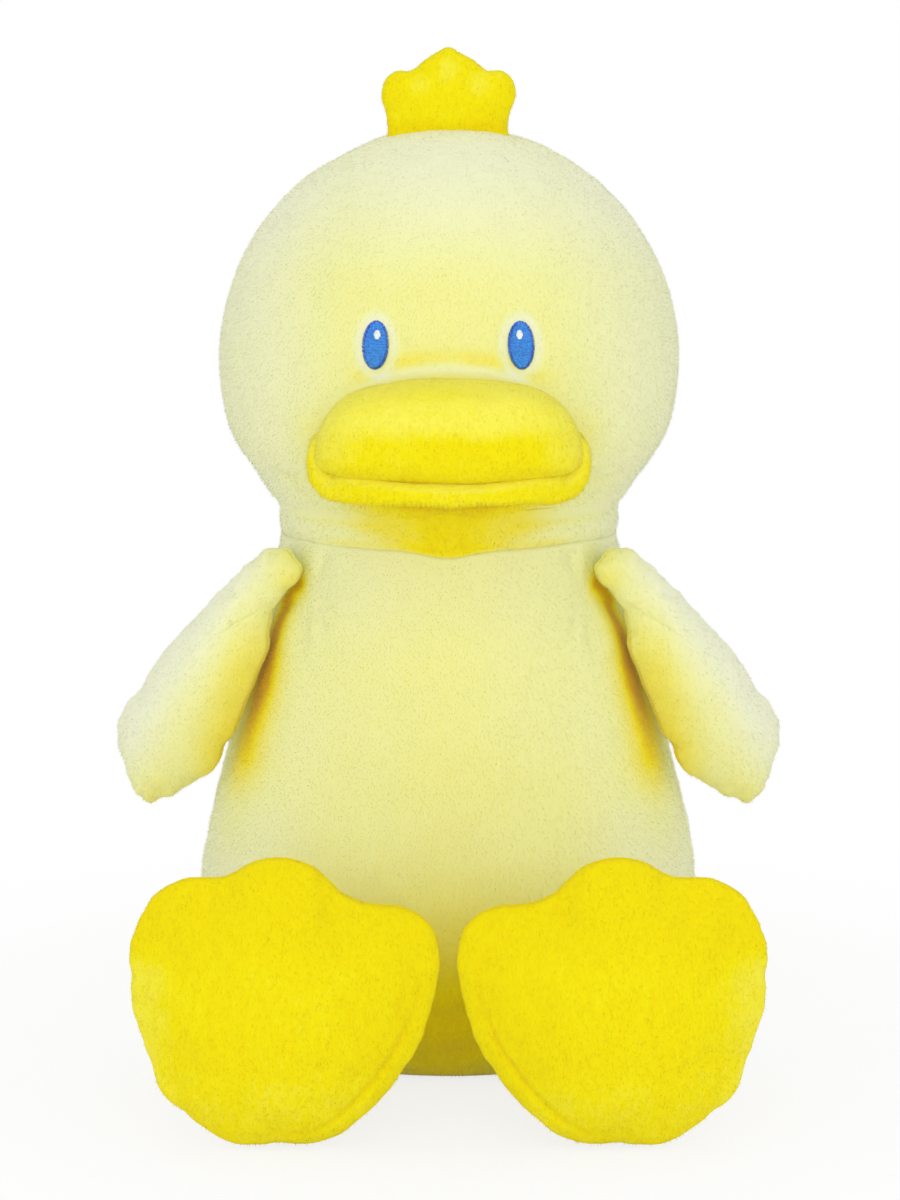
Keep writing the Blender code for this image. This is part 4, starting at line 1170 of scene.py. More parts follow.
def bill_grid(outline, reach, count, rings):
    """A bill half from its front crown to its rim and back into the face."""
    form = settings().form
    loop = smooth_outline(both_halves(outline), count)
    middle = np.array([0.0, BILL_LEVEL])
    rows = []
    for angle in np.linspace(0, np.pi / 2, rings):
        arm = (loop - middle) * math.sin(angle)
        depth = form.bill_plane + reach * math.cos(angle) ** BILL_FULLNESS
        rows.append(np.stack([arm[:, 0], np.full(count, -depth), middle[1] + arm[:, 1]], axis=1))
    # Behind the rim it draws in towards its hidden end, more so below
    for step in np.linspace(0.08, 1, BILL_HIDDEN_ROWS):
        lower = (loop[:, 1] < BILL_LEVEL)[:, None] * (0.0, BILL_DRAWN_UP)
        drawn = (loop - middle) * (1 - (BILL_DRAWN_IN + lower) * step)
        root = root_depth(drawn[:, 0], middle[1] + drawn[:, 1])
        depth = form.bill_plane + (root - form.bill_plane) * step
        rows.append(np.stack([drawn[:, 0], -depth, middle[1] + drawn[:, 1]], axis=1))
    rows.append(np.tile([0.0, -root_depth(0.0, BILL_LEVEL), BILL_LEVEL], (count, 1)))
    return np.array(rows)


def lip_grid(stations, count):
    """The lower lip: a roll that wraps round the upper bill, its ends running up beside it."""
    half = np.array(LIP_PATH)
    path, even = spaced(np.vstack([half, half[-2::-1] * (-1, 1, 1, 1)]), stations)
    relax(path, 14)
    ahead = np.gradient(path[:, (0, 2)], axis=0)
    ahead /= np.linalg.norm(ahead, axis=1, keepdims=True)
    outward = np.stack([-ahead[:, 1], ahead[:, 0]], axis=1)
    if outward[stations // 2, 1] > 0:
        outward = -outward
    turn = round_turn(count)
    behind = np.maximum(-np.cos(turn), 0.0)
    bulge = np.sign(np.sin(turn)) * np.abs(np.sin(turn)) ** 0.85
    run = np.minimum(even, even[-1] - even)
    rows = []
    for i, (across, forward, up, thick) in enumerate(path):
        ends = math.sqrt(1 - (1 - min(run[i] / LIP_END_ROUND, 1.0)) ** 2)
        thick = thick * ends
        nose = forward - thick - LIP_END_BACK * (1 - ends)
        out, level = across + outward[i, 0] * (thick * bulge), up + outward[i, 1] * (thick * bulge)
        # Its underside rises towards the face, which leaves room for the neck when the head nods
        level = level + LIP_RISE * behind * below(abs(across), LIP_RISE_REACH, LIP_RISE_FADE)
        depth = np.where(np.cos(turn) > 0, nose + thick * np.cos(turn) * 1.05,
                         nose - (nose - root_depth(out, level)) * behind * ends)
        rows.append(np.stack([out, -depth, level], axis=1))
    grid = np.array(rows)
    for end in (0, -1):
        grid[end] = grid[end].mean(0)
    return grid


def bare_root(grid):
    """No pile on what lies inside the head."""
    form = settings().form
    away = np.linalg.norm(grid - np.array((0.0, 0.0, form.head_level)), axis=-1)
    return ramp(away, form.head_radius - BARE_INSIDE, form.head_radius + BARE_OUTSIDE)


def dress_bill():
    """The domed upper bill and the rolled lower lip."""
    grid = bill_grid(UPPER_BILL_OUTLINE, settings().form.upper_bill_reach, *BILL_GRID)
    height = soft_lumps(grid, 0.018, 0.5, (0.0058, 0.0058, 0.0075), 21)
    # Painted light over its upper half and down its sides, where the light from above falls, with a soft
    # straight boundary; painted shade along its top middle, its lower edge and towards its root
    across, forward, level = parts(grid)
    level = level + 0.0010 * lumps(grid, 0.010, 24)
    upper = ramp(level, *BILL_PAINTED_LIGHT)
    beside = 0.75 * ramp(across, 0.0200, 0.0345) * ramp(level, 0.1840, 0.1960)
    tone = 0.48 - 0.34 * (1 - (1 - upper) * (1 - beside)) + 0.05 * lumps(grid, 0.014, 23)
    tone += 0.10 * ramp(level, 0.2065, 0.2105) * bell(across, 0.013)
    tone += 0.10 * below(level, 0.1880, 0.003)
    tone += 0.10 * ramp(-forward, *BILL_ROOT_PAINTED_SHADE)
    upper = make_piece("upper_bill_skin", push(grid, height), tone, finish_named("bright_plush"),
                       pile=bare_root(grid))

    grid = lip_grid(*LIP_GRID)
    height = soft_lumps(grid, 0.016, 0.4, 0.005, 31)
    # Gathered pile along the lip's lower edge, strongest in the middle
    across, forward, _ = parts(grid)
    facing_up = grid_normals(grid)[..., 2]
    low = ramp(-facing_up, 0.05, 0.75) * ramp(forward, 0.086, 0.095)
    ridges = gathers(grid[..., 0] / LIP_WIDTH + 0.5, *GATHERS["lip edge"])
    edge = low * below(across, 0.030, 0.020)
    height += ridges * edge * 0.00038
    # Painted light where the lip faces up, painted shade on its underside, and a painted highlight on the
    # crests of the gathers
    tone = 0.44 - 0.16 * ramp(facing_up, 0.05, 0.6) + 0.06 * lumps(grid, 0.012, 33)
    tone += 0.12 * ramp(-facing_up, 0.5, 0.95) - 0.16 * edge * ramp(ridges, 0.1, 0.7)
    lower = make_piece("lower_bill_skin", push(grid, height), tone, finish_named("bright_plush"),
                       pile=bare_root(grid))
    for piece, half in ((upper, "upper_bill"), (lower, "lower_bill")):
        finish_skin(piece, "yellow_velour", 0.85, (half + "_cover", half + "_fill"), "head")


def dress_crest():
    """The three-lobed crest with its gathered foot."""
    form, cloth = settings().form, settings().cloth
    loop = smooth_outline(both_halves(CREST_OUTLINE), CREST_COLUMNS)
    grid, turn = pillow(loop, form.crest_depth, form.crest_depth, CREST_RINGS, 0.7, CREST_CENTRE)
    away = np.abs(rim_distance(grid, CREST_RINGS))
    height = -cloth.seam_depth * 0.8 * bell(away, cloth.seam_width)
    height += gathers(turn, *GATHERS["crest rim"]) * cloth.pucker * 0.18 * bell(away, 0.0040)
    height += soft_lumps(grid, 0.009, 0.5, 0.0045, 41)
    foot = bell(grid[..., 2] - CREST_FOOT, 0.0022)
    folds = gathers(grid[..., 0] / 0.040 + 0.5, *GATHERS["crest foot"])
    height += foot * (folds * 0.0003 - 0.0003)
    for _, side in SIDES:
        notch = fold(grid, [(side * x, y, z) for x, y, z in CREST_NOTCH], 0.0018)
        height -= notch * 0.0009
    # Painted shade at the gathered foot, painted light on the lobes' swells
    tone = 0.50 + 0.08 * lumps(grid, 0.007, 43) + 0.18 * foot
    for x, z, size, depth in CREST_LOBES:
        tone -= depth * bell(np.hypot(grid[..., 0] - x, grid[..., 2] - z), size)
    piece = make_piece("crest_skin", push(grid, height), tone, finish_named("bright_plush"))
    finish_skin(piece, "yellow_velour", 0.7, ("crest_front_panel", "crest_back_panel", "crest_fill"), "head")


def neck_dip(points):
    """How far the neck seam hangs down in front, in the middle."""
    front = ramp(-points[..., 1], 0.008, 0.034)
    return (0.0020 * bell(points[..., 0], 0.0085) - 0.0014) * front


def dress_neck():
    """The neck band: it rises out of the seam, swells a little and tucks round the jaw."""
    form = settings().form
    ball = form.head_radius - form.jaw_pinch

    def jaw(level, out):
        return (math.sqrt(ball**2 - (form.head_level - level) ** 2) + out, level)

    outer = [*NECK_OUTSIDE, *(jaw(level, out) for level, out in NECK_TUCK)]
    inner = [jaw(level, -NECK_CLOTH) for level in np.linspace(*NECK_INSIDE_LEVELS, 10)] + [NECK_INSIDE_END]
    rows, inner_rows = NECK_ROWS
    section = np.vstack([spaced(np.array(outer), rows)[0], spaced(np.array(inner), inner_rows)[0]])
    relax(section[:rows], 6)
    turn = round_turn(NECK_COLUMNS)
    grid = np.zeros((len(section), NECK_COLUMNS, 3))
    grid[..., 0] = section[:, :1] * np.cos(turn)
    grid[..., 1] = section[:, :1] * np.sin(turn)
    grid[..., 2] = section[:, 1:]
    grid[..., 2] -= neck_dip(grid) * below(grid[..., 2], 0.1650, 0.0060)
    across, forward, level = parts(grid)
    outside = np.zeros(grid.shape[:2])
    outside[:rows] = 1.0
    outside *= ramp(level + neck_dip(grid), *NECK_PILE_START) * below(level, NECK_PILE_TOP, 0.0020)
    height = velour_lumps(grid) * 0.7 * outside
    front = ramp(forward, *FRONT_OF_HEAD)
    # The body's painted light and shade and the bill's painted shadow, with painted shade in the neck seam
    # and in the chin's crease at the sides
    tone = body_tone(grid) + under_bill_shade(grid)
    tone += 0.20 * bell(level + neck_dip(grid) - 0.1580, 0.0018) * front * below(across, 0.040, 0.01)
    tone += 0.10 * bell(level - 0.1655, 0.0016) * front * ramp(across, 0.016, 0.026)
    grid = grid + grid_normals(grid, True) * height[..., None]
    piece = make_piece("neck_skin", grid, tone, finish_named("pale_plush"), closed_rows=True, pile=outside)
    finish_skin(piece, "pale_velour", 0.8, ("neck_band", "neck_fill"), "torso", "neck",
                *((0, 0, bend) for bend in NECK_BEND))


def body_radii(level):
    """Half width, front depth and back depth of the body at each level."""
    table = np.array(BODY_SECTIONS)
    return [np.interp(level, table[:, 0], table[:, k]) for k in (1, 2, 3)]


def body_surface(level, turn):
    """Points of the body's outside; turn 0 at +X and a quarter turn at the back."""
    wide, front, back = body_radii(level)
    deep = np.where(np.sin(turn) > 0, back, front)
    return np.stack([wide * np.cos(turn), deep * np.sin(turn), level + 0 * turn], axis=-1)


def velour_lumps(points):
    """Soft lumps of the stuffing and waves of the nap, the same on pieces that meet."""
    height = soft_lumps(points, BODY_LUMP, 1.0, BODY_NAP, 61)
    return height + lumps(points, 0.0036, 63) * settings().cloth.nap * 0.4


def body_tone(points):
    """The body's tone from its place: warmer low down and in front, paler at the flanks."""
    across, forward, level = parts(points)
    tone = 0.44 + 0.05 * lumps(points, 0.030, 64)
    tone += 0.22 * below(level, 0.080, 0.050) * ramp(forward, *FRONT_OF_BODY) * bell(across, 0.050)
    tone += 0.08 * spot(points, (0, -0.055, 0.1250), (0.024, 0.03, 0.030))
    tone -= 0.28 * ramp(across, *BODY_FLANK)
    return tone - 0.06 * ramp(level, 0.120, 0.150)


def torso_grid(turn):
    """The body from the middle of its flat seat up to the neck seam and down into the bowl."""
    form = settings().form
    columns = len(turn)
    rings = []
    for part in np.linspace(0, 1, SEAT_ROWS + 1)[:-1]:
        rings.append(body_surface(np.zeros(columns), turn) * (part, part, 1))
    for level in np.linspace(0, form.neck_seam, SIDE_ROWS):
        rings.append(body_surface(np.full(columns, level), turn))
    bowl = form.head_radius + BOWL_CLEARANCE
    for part in np.linspace(1, 0, BOWL_ROWS + 1)[1:]:
        radius = form.neck_radius * part
        level = min(form.neck_seam, form.head_level - math.sqrt(bowl**2 - radius**2))
        rings.append(np.stack([radius * np.cos(turn), radius * np.sin(turn), np.full(columns, level)],
                              axis=1))
    grid = np.array(rings)
    relax(grid[:SEAT_ROWS + SIDE_ROWS - 2], 12)
    grid[:FLAT_ROWS, :, 2] = 0.0
    return grid


def turn_about(grid, place, side=1.0, nudge=0.0):
    """Each point's share of the turn round a place, seen from the front; a nudge keeps it from 0 by 0."""
    return np.arctan2(grid[..., 2] - place[2], side * (grid[..., 0] - place[0]) + nudge) / math.tau + 0.5


def shadow_path(side):
    """The line on the body that lies behind the wing's inner edge."""
    path = []
    for out, up in WING_SHADOW:
        wide, deep, _ = body_radii(up)
        path.append((side * out, -deep * math.sqrt(1 - (out / wide) ** 2), up))
    return path


def dress_torso():
    """The body's velour: belly, back, flat seat and the bowl that takes the head."""
    form, cloth = settings().form, settings().cloth
    turn = round_turn(BODY_COLUMNS)
    grid = torso_grid(turn)
    level = grid[..., 2]
    around = np.repeat(turn[None], len(grid), axis=0)
    outside = np.zeros(grid.shape[:2])
    outside[SEAT_ROWS:SEAT_ROWS + SIDE_ROWS] = 1.0
    body = outside * ramp(level, 0.002, 0.010) * ramp(form.neck_seam - level, 0.0005, 0.004)

    height = velour_lumps(grid)
    tone = body_tone(grid)
    # Side seams, the sewn-up opening in the back and the seat seam, with painted shade in the side seams and
    # the back seam
    upward = level / form.neck_seam
    for centre in (-SIDE_SEAM_TURN, math.pi + SIDE_SEAM_TURN):
        offset = np.angle(np.exp(1j * (around - centre))) * BODY_MEAN_RADIUS
        seam = bell(offset, cloth.seam_width) * outside
        height -= seam * cloth.seam_depth * 0.8
        height += bell(offset, 0.006) * gathers(upward, *GATHERS["side seam"]) * 0.00035 * outside
        tone += 0.12 * seam
    closing, drawn = (fold(grid, CLOSING_SEAM, width) for width in (cloth.seam_width, CLOSING_GATHER))
    height += drawn * gathers(upward, *GATHERS["closing seam"]) * 0.00045 - closing * cloth.seam_depth
    tone += 0.14 * closing
    seat_gap = np.abs(rim_distance(grid, SEAT_ROWS + 3))
    height -= bell(seat_gap, cloth.seam_width) * cloth.seam_depth * 0.5
    height += bell(seat_gap, 0.008) * gathers(around / math.tau, *GATHERS["seat seam"]) * 0.0006 * outside
    # Cloth drawn in at the wings, the legs and the tail; the wing's painted shadow on the body and painted
    # shade in the gathers at the hips and round the tail
    for _, side in SIDES:
        arm_turn = -ARM_TURN if side > 0 else math.pi + ARM_TURN
        arm = body_surface(np.array(ARM_LEVEL), np.array(arm_turn))
        reach = np.linalg.norm(grid - arm, axis=-1)
        rays = gathers(turn_about(grid, arm, side, 1e-9), *GATHERS["shoulder"])
        height += rays * 0.0008 * bell(reach - 0.013, 0.006) - 0.0016 * bell(reach, 0.011)
        gap, along = along_path(grid, shadow_path(side))
        wide, faint = np.interp(along, *SHADOW_WIDTH), np.interp(along, *SHADOW_STRENGTH)
        tone += (0.28 * bell(gap, wide) + 0.44 * bell(gap, wide * 2.0)) * faint
        hip = np.array((side * HIP_OUT, -HIP_FORWARD, HIP_LEVEL))
        reach = np.linalg.norm((grid - hip) * (1, 0.7, 1), axis=-1)
        height += gathers(turn_about(grid, hip), *GATHERS["hip"]) * 0.0009 * bell(reach - 0.021, 0.006)
        height -= 0.0026 * bell(reach - 0.016, 0.005)
        tone += 0.20 * bell(reach - 0.017, 0.007)
    reach = np.linalg.norm((grid - np.array((0, TAIL_SEAM, TAIL_LEVEL))) * (0.75, 1, 1.1), axis=-1)
    height -= 0.0014 * bell(reach - 0.014, 0.004)
    tone += 0.14 * bell(reach - 0.015, 0.005)
    # The shaded hollow between the feet, with its fine cross wrinkles
    wrinkles = np.sin(level / WRINKLE_PITCH + 2.2 * lumps(grid, 0.010, 72))
    height += wrinkles * 0.00030 * spot(grid, (0, -0.058, 0.022), (0.020, 0.03, 0.022))
    tone += 0.22 * spot(grid, (0, -0.060, 0.0180), (0.026, 0.040, 0.028))
    seat = np.zeros_like(tone)
    seat[:SEAT_ROWS] = 1.0
    grid = push(grid, height * np.maximum(body, 0.15 * seat))
    grid[..., 2] -= neck_dip(grid) * ramp(grid[..., 2], 0.1460, form.neck_seam)
    grid[..., 2] = np.maximum(grid[..., 2], 0.0)
    grid[:FLAT_ROWS, :, 2] = 0.0
    pile = outside * ramp(form.neck_seam - neck_dip(grid) - grid[..., 2], 0.0005, 0.0015)
    piece = make_piece("torso_skin", grid, tone, finish_named("pale_plush"), pile=pile)
    finish_skin(piece, "pale_velour", 0.85, ("torso_front_panel", "torso_back_panel", "torso_seat_panel",
                                             "torso_fill", "seat_pellet_pouch"), "torso")


def dress_tail():
    """The small upturned tail."""
    form, cloth = settings().form, settings().cloth
    along = np.array((0, math.cos(TAIL_RISE), math.sin(TAIL_RISE)))
    up = np.array((0, -math.sin(TAIL_RISE), math.cos(TAIL_RISE)))
    root = np.array((0, TAIL_ROOT, TAIL_LEVEL))
    wide, high = TAIL_HALF_SIZE
    count, rings = 120, 60
    turn = round_turn(count)
    grid = np.zeros((rings, count, 3))
    for i, part in enumerate(np.linspace(0, 1, rings)):
        swell = np.interp(part, *TAIL_SWELL)
        run = -TAIL_INSIDE + (form.tail_length + TAIL_INSIDE) * part
        ring = root + along * run + np.outer(np.cos(turn) * wide * swell, (1, 0, 0))
        grid[i] = ring + np.outer(np.sin(turn) * high * swell, up)
    relax(grid, 4)
    seam = bell(np.abs(np.sin(turn))[None] * 0.012 * np.ones((rings, 1)), cloth.seam_width)
    height = soft_lumps(grid, 0.012, 0.5, 0.006, 81) - seam * cloth.seam_depth * 0.7
    # Painted shade in the seam's groove
    tone = 0.42 + 0.06 * lumps(grid, 0.015, 83) + 0.10 * seam
    piece = make_piece("tail_skin", push(grid, height), tone, finish_named("pale_plush"))
    finish_skin(piece, "pale_velour", 0.8, ("tail_cover", "tail_fill"), "torso")


def wing_frame(side):
    """The wing's root, its way out, its way up and its way to the back."""
    out, forward, up = WING_ROOT
    root = np.array((side * out, -forward, up))
    away = np.array((side * math.cos(WING_SWEEP), math.sin(WING_SWEEP), 0.0))
    back = np.array((-side * math.sin(WING_SWEEP), math.cos(WING_SWEEP), 0.0))
    return root, away, np.array((0.0, 0.0, 1.0)), back


def dress_wings():
    """Both paddle wings, gathered at the shoulder and round the rim."""
    form, cloth = settings().form, settings().cloth
    loop = smooth_outline(WING_OUTLINE, WING_COLUMNS)
    pad, _ = pillow(loop, form.wing_front, form.wing_back, WING_RINGS, 0.62, WING_CENTRE)
    pad = even_swell(pad, loop, 0.0085, 0.0070, 0.0150)
    held = 0.6 * bell(np.hypot(pad[..., 0] + 0.004, pad[..., 2] - 0.004), 0.010)
    pad = stuff_pad(pad, form.wing_front, form.wing_back, 0.30, held)
    away, turn = along_path(pad, np.vstack([pad[WING_RINGS], pad[WING_RINGS, :1]]))
    across, up = pad[..., 0], pad[..., 2]
    shoulder = np.hypot(across, up)
    spin = np.arctan2(up, across) / math.tau + 0.5
    tip = spot(pad, WING_TIP, WING_TIP_SIZE)
    height = -cloth.seam_depth * bell(away, cloth.seam_width)
    height += gathers(turn, *GATHERS["wing rim"]) * cloth.pucker * 0.40 * np.exp(-away / 0.006)
    height += gathers(spin, *GATHERS["wing root"]) * 0.0003 * bell(shoulder - 0.010, 0.006)
    height -= 0.0010 * bell(shoulder, 0.008)
    height += gathers(turn, *GATHERS["wing tip"]) * 0.0006 * tip
    height += soft_lumps(pad, 0.020, 0.7, 0.0062, 94)
    height += lumps(pad, 0.0033, 96) * cloth.nap * 0.5
    # Painted light along the outer edge and on the shoulder; painted shade warmer and deeper towards the
    # body, at the tip, along the rim seam and at the root
    below_shoulder = up + WING_TONE_LEVEL
    inner = below(across, 0.0185 - 0.30 * below_shoulder, 0.0125) * (1 - 0.8 * bell(shoulder, 0.016))
    tone = 0.42 - 0.34 * ramp(across + 0.55 * below_shoulder, 0.013, 0.032) + 0.27 * inner
    tone += 0.05 * lumps(pad, 0.016, 97) + 0.16 * tip + 0.06 * bell(away, 0.0014)
    tone -= 0.10 * bell(shoulder, 0.014)
    tone += 0.14 * spot(pad, (-0.0080, -0.004, 0.0010), (0.004, 0.02, 0.004))
    pad = push(pad, height)
    for name, side in SIDES:
        root, out, up, back = wing_frame(side)
        grid = root + pad[..., :1] * out + pad[..., 2:] * up + pad[..., 1:2] * back
        piece = make_piece(name + "_wing_skin", grid, tone, finish_named("pale_plush"))
        wing = name + "_wing"
        finish_skin(piece, "pale_velour", 0.8, (wing + "_front_panel", wing + "_back_panel", wing + "_fill"),
                    "torso", wing, tuple(root - out * 0.004 + up * 0.004),
                    tuple(root + out * 0.012 - up * 0.016))


def dress_legs():
    """Both short legs, from inside the body to the backs of the feet."""
    form, cloth = settings().form, settings().cloth
    count, rings = 130, 70
    turn = round_turn(count)
    for name, side in SIDES:
        grid = np.zeros((rings, count, 3))
        for i, part in enumerate(np.linspace(0, 1, rings)):
            swell = np.interp(part, *LEG_SWELL)
            grid[i, :, 0] = side * HIP_OUT + form.leg_radius * swell * np.cos(turn)
            grid[i, :, 1] = -LEG_ROOT - (form.foot_plane - LEG_END_INSIDE - LEG_ROOT) * part
            grid[i, :, 2] = HIP_LEVEL + form.leg_radius * swell * np.sin(turn)
        relax(grid, 3)
        around = np.repeat(turn[None] / math.tau, rings, axis=0)
        ends = sum(bell(grid[..., 1] + forward, LEG_GATHER_WIDTH) for forward in LEG_GATHERS)
        height = gathers(around, *GATHERS["leg"]) * 0.0007 * ends
        height += soft_lumps(grid, 0.014, 0.6, 0.006, 102)
        height -= bell((around - 0.75) * 0.10, cloth.seam_width) * cloth.seam_depth * 0.7
        # Painted shade in the gathers at both ends
        tone = 0.55 + 0.06 * lumps(grid, 0.012, 104) + 0.12 * ends
        piece = make_piece(name + "_leg_skin", push(grid, height), tone, finish_named("bright_plush"))
        finish_skin(piece, "yellow_velour", 0.8, (name + "_leg_cover", name + "_leg_fill"),
                    "torso", name + "_leg",
                    *((side * HIP_OUT, -forward, HIP_LEVEL) for forward in LEG_BEND))


def dress_feet():
    """Both webbed feet, soles to the front, gathered round their rims."""
    form, cloth = settings().form, settings().cloth
    loop = smooth_outline(FOOT_OUTLINE, FOOT_COLUMNS)
    pad, turn = pillow(loop, 0.0110, 0.0100, FOOT_RINGS, 0.60, FOOT_CENTRE)
    pad = stuff_pad(pad, form.foot_sole, form.foot_top, 0.25)
    across, up = pad[..., 0], pad[..., 2]
    away = np.abs(rim_distance(pad, FOOT_RINGS))
    height = -cloth.seam_depth * bell(away, cloth.seam_width)
    ruffle = 0.34 * (0.55 + 0.45 * lumps(pad, 0.030, 117))
    height += gathers(turn, *GATHERS["foot rim"]) * cloth.pucker * ruffle * np.exp(-away / 0.0050)
    for x, z, dx, dz in TOE_CREASES:
        line = [(x + dx * t, -0.004 - 0.010 * t, z + dz * t) for t in (0, 0.5, 1)]
        height -= fold(pad, line, 0.0026) * 0.0012
    height += soft_lumps(pad, 0.024, 0.7, (0.0055, 0.0055, 0.0085), 112)
    height += lumps(pad, (0.003, 0.003, 0.006), 114) * cloth.nap * 0.5
    inner = fold(pad, [(x, INNER_SEAM_DEPTH, z) for x, z in INNER_SEAM], 0.0012)
    height -= inner * 0.0009
    tone = 0.52 + 0.05 * lumps(pad, (0.010, 0.010, 0.020), 115)
    tone = tone + 0.05 * lumps(pad, (0.0014, 0.0014, 0.0048), 116)
    # An even tone over the top towards the front; painted light at the outer rim low down, and paler towards
    # the bottom
    smooth = ramp(up, 0.0480, 0.0700) * ramp(-pad[..., 1], -0.004, 0.006)
    tone += (0.60 - tone) * smooth * 0.9
    tone -= 0.24 * ramp(across, 0.072, 0.088) * below(up, 0.062, 0.012)
    tone -= 0.08 * below(up, 0.030, 0.020)
    # Painted shade along the rim seam and in the fold of the inner seam
    tone += 0.12 * bell(away, 0.0016) + 0.16 * inner
    pad = push(pad, height)
    for name, side in SIDES:
        grid = np.stack([side * pad[..., 0], pad[..., 1] - form.foot_plane, np.maximum(pad[..., 2], 0.0)],
                        axis=-1)
        piece = make_piece(name + "_foot_skin", grid, tone, finish_named("bright_plush"))
        foot = name + "_foot"
        finish_skin(piece, "yellow_velour", 0.8, (foot + "_sole_panel", foot + "_top_panel", foot + "_fill"),
                    name + "_leg")


def on_eye(side, across, up, out):
    """A point on an embroidered eye, by its place in the upright oval."""
    lean = math.radians(EYE_LEAN) * side
    x = across * math.cos(lean) - up * math.sin(lean)
    z = across * math.sin(lean) + up * math.cos(lean)
    return face_point(side * EYE_OUT + x, EYE_LEVEL + z, out - EYE_PRESSED)


def on_oval(side, reach, angle, out, more=0.0):
    """A point of the eye's oval at this share of its reach, this turn and this height over the face."""
    half_width, half_height = (half + more for half in EYE_HALF_SIZE)
    return on_eye(side, half_width * reach * math.cos(angle), half_height * reach * math.sin(angle), out)


def dress_eyes():
    """Blue ovals in satin stitch, each with a darker outline and a pale highlight."""
    cloth = settings().cloth
    half_width, half_height = EYE_HALF_SIZE
    rows, columns = 14, 72
    rings = [(part, EYE_DOME * math.sqrt(max(1 - part**2, 0.0))) for part in np.linspace(0, 1, rows)]
    rings += [(part, EYE_BACK) for part in (1.0, 0.5, 0.0)]
    for name, side in SIDES:
        grid = np.array([[on_oval(side, part, math.tau * j / columns, out) for j in range(columns)]
                         for part, out in rings])
        base = make_piece(name + "_eye_patch", grid, np.zeros(grid.shape[:2]), finish_named("eye_thread"))
        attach(base, "head")
        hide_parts(name + "_eye")

        wobble = np.random.default_rng(5 if side > 0 else 6)
        threads = []
        for place in np.arange(-half_height + cloth.satin_pitch, half_height, cloth.satin_pitch):
            reach = half_width * math.sqrt(1 - (place / half_height) ** 2) - 0.0002
            if reach < SHORTEST_STITCH:
                continue
            tilt = 0.10 + wobble.normal(0, 0.02)
            threads.append([on_eye(side, reach * t, place + tilt * reach * t,
                                   0.00018 + 0.00078 * math.sqrt(max(1 - t * t * 0.92, 0)))
                            for t in np.linspace(-1, 1, 9)])
        satin = lay_threads(name + "_eye_satin", threads, cloth.thread, "eye_thread")
        edge = []
        for j in range(EDGE_STITCHES):
            angle = math.tau * (j + wobble.normal(0, 0.12)) / EDGE_STITCHES
            edge.append([on_oval(side, reach, angle + turn, out, 0.00005)
                         for reach, turn, out in EDGE_STITCH])
        outline = lay_threads(name + "_eye_outline", edge, cloth.thread * 0.85, "eye_edge_thread")
        spark = []
        for t in np.linspace(-1, 1, HIGHLIGHT_STITCHES):
            reach = HIGHLIGHT_REACH * math.sqrt(max(1 - t * t * 0.85, 0))
            spark.append([on_eye(side, -0.0003 * side + t * 0.00070, HIGHLIGHT_LEVEL + reach * s * 1.35,
                                 HIGHLIGHT_HEIGHT) for s in (-1, -0.5, 0, 0.5, 1)])
        highlight = lay_threads(name + "_eye_highlight_satin", spark, cloth.thread * 1.1, "highlight_thread")
        for piece in (satin, outline):
            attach(piece, "head")
        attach(highlight, "head")
        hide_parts(name + "_eye_highlight")


def floor_material():
    """The pale floor: plain white to the camera away from the toy, with the toy's own shadow under it."""
    colour_of_floor = settings().colours.floor
    material, tree, shader = plain_material("studio_floor", {"Roughness": 0.9, "Specular IOR Level": 0.1})
    grain = add(tree, "ShaderNodeTexNoise", named={"Scale": 18.0, "Detail": 2.0}).outputs["Fac"]
    darker = [v * 0.99 for v in colour_of_floor]
    shade = shade_ramp(tree, grain, (0.0, 1.0), (darker, colour_of_floor))
    tree.links.new(shade, shader.inputs["Base Color"])
    place = add(tree, "ShaderNodeTexCoord").outputs["Object"]
    away = add(tree, "ShaderNodeVectorMath", place, operation="LENGTH").outputs["Value"]
    fade = add(tree, "ShaderNodeMapRange", interpolation_type="SMOOTHSTEP", named={
        "Value": away, "From Min": SHADOW_REACH[0], "From Max": SHADOW_REACH[1],
        "To Min": 0.80, "To Max": 1.0,
    })
    rays = add(tree, "ShaderNodeLightPath").outputs["Is Camera Ray"]
    seen = add(tree, "ShaderNodeMath", fade.outputs[0], rays, operation="MULTIPLY")
    plain = add(tree, "ShaderNodeEmission", named={"Color": WHITE, "Strength": 1.0})
    join = add(tree, "ShaderNodeMixShader", seen.outputs[0], shader.outputs[0], plain.outputs[0])
    tree.links.new(join.outputs[0], tree.nodes["Material Output"].inputs["Surface"])
    return material


def studio_world():
    """Soft light from all round that looks plain white to the camera and in reflections."""
    world = bpy.data.worlds.new("studio")
    world.use_nodes = True
    tree = world.node_tree
    tree.nodes.clear()
    rays = add(tree, "ShaderNodeLightPath").outputs
    seen = rays["Is Camera Ray"]
    for kind in ("Is Glossy Ray", "Is Transmission Ray"):
        seen = add(tree, "ShaderNodeMath", seen, rays[kind], operation="MAXIMUM").outputs[0]
    light, white = [add(tree, "ShaderNodeBackground", named={"Color": WHITE, "Strength": strength})
                    for strength in (SKY_STRENGTH, 1.0)]
    mixed = add(tree, "ShaderNodeMixShader", seen, light.outputs[0], white.outputs[0])
    add(tree, "ShaderNodeOutputWorld", named={"Surface": mixed.outputs[0]})
    return world


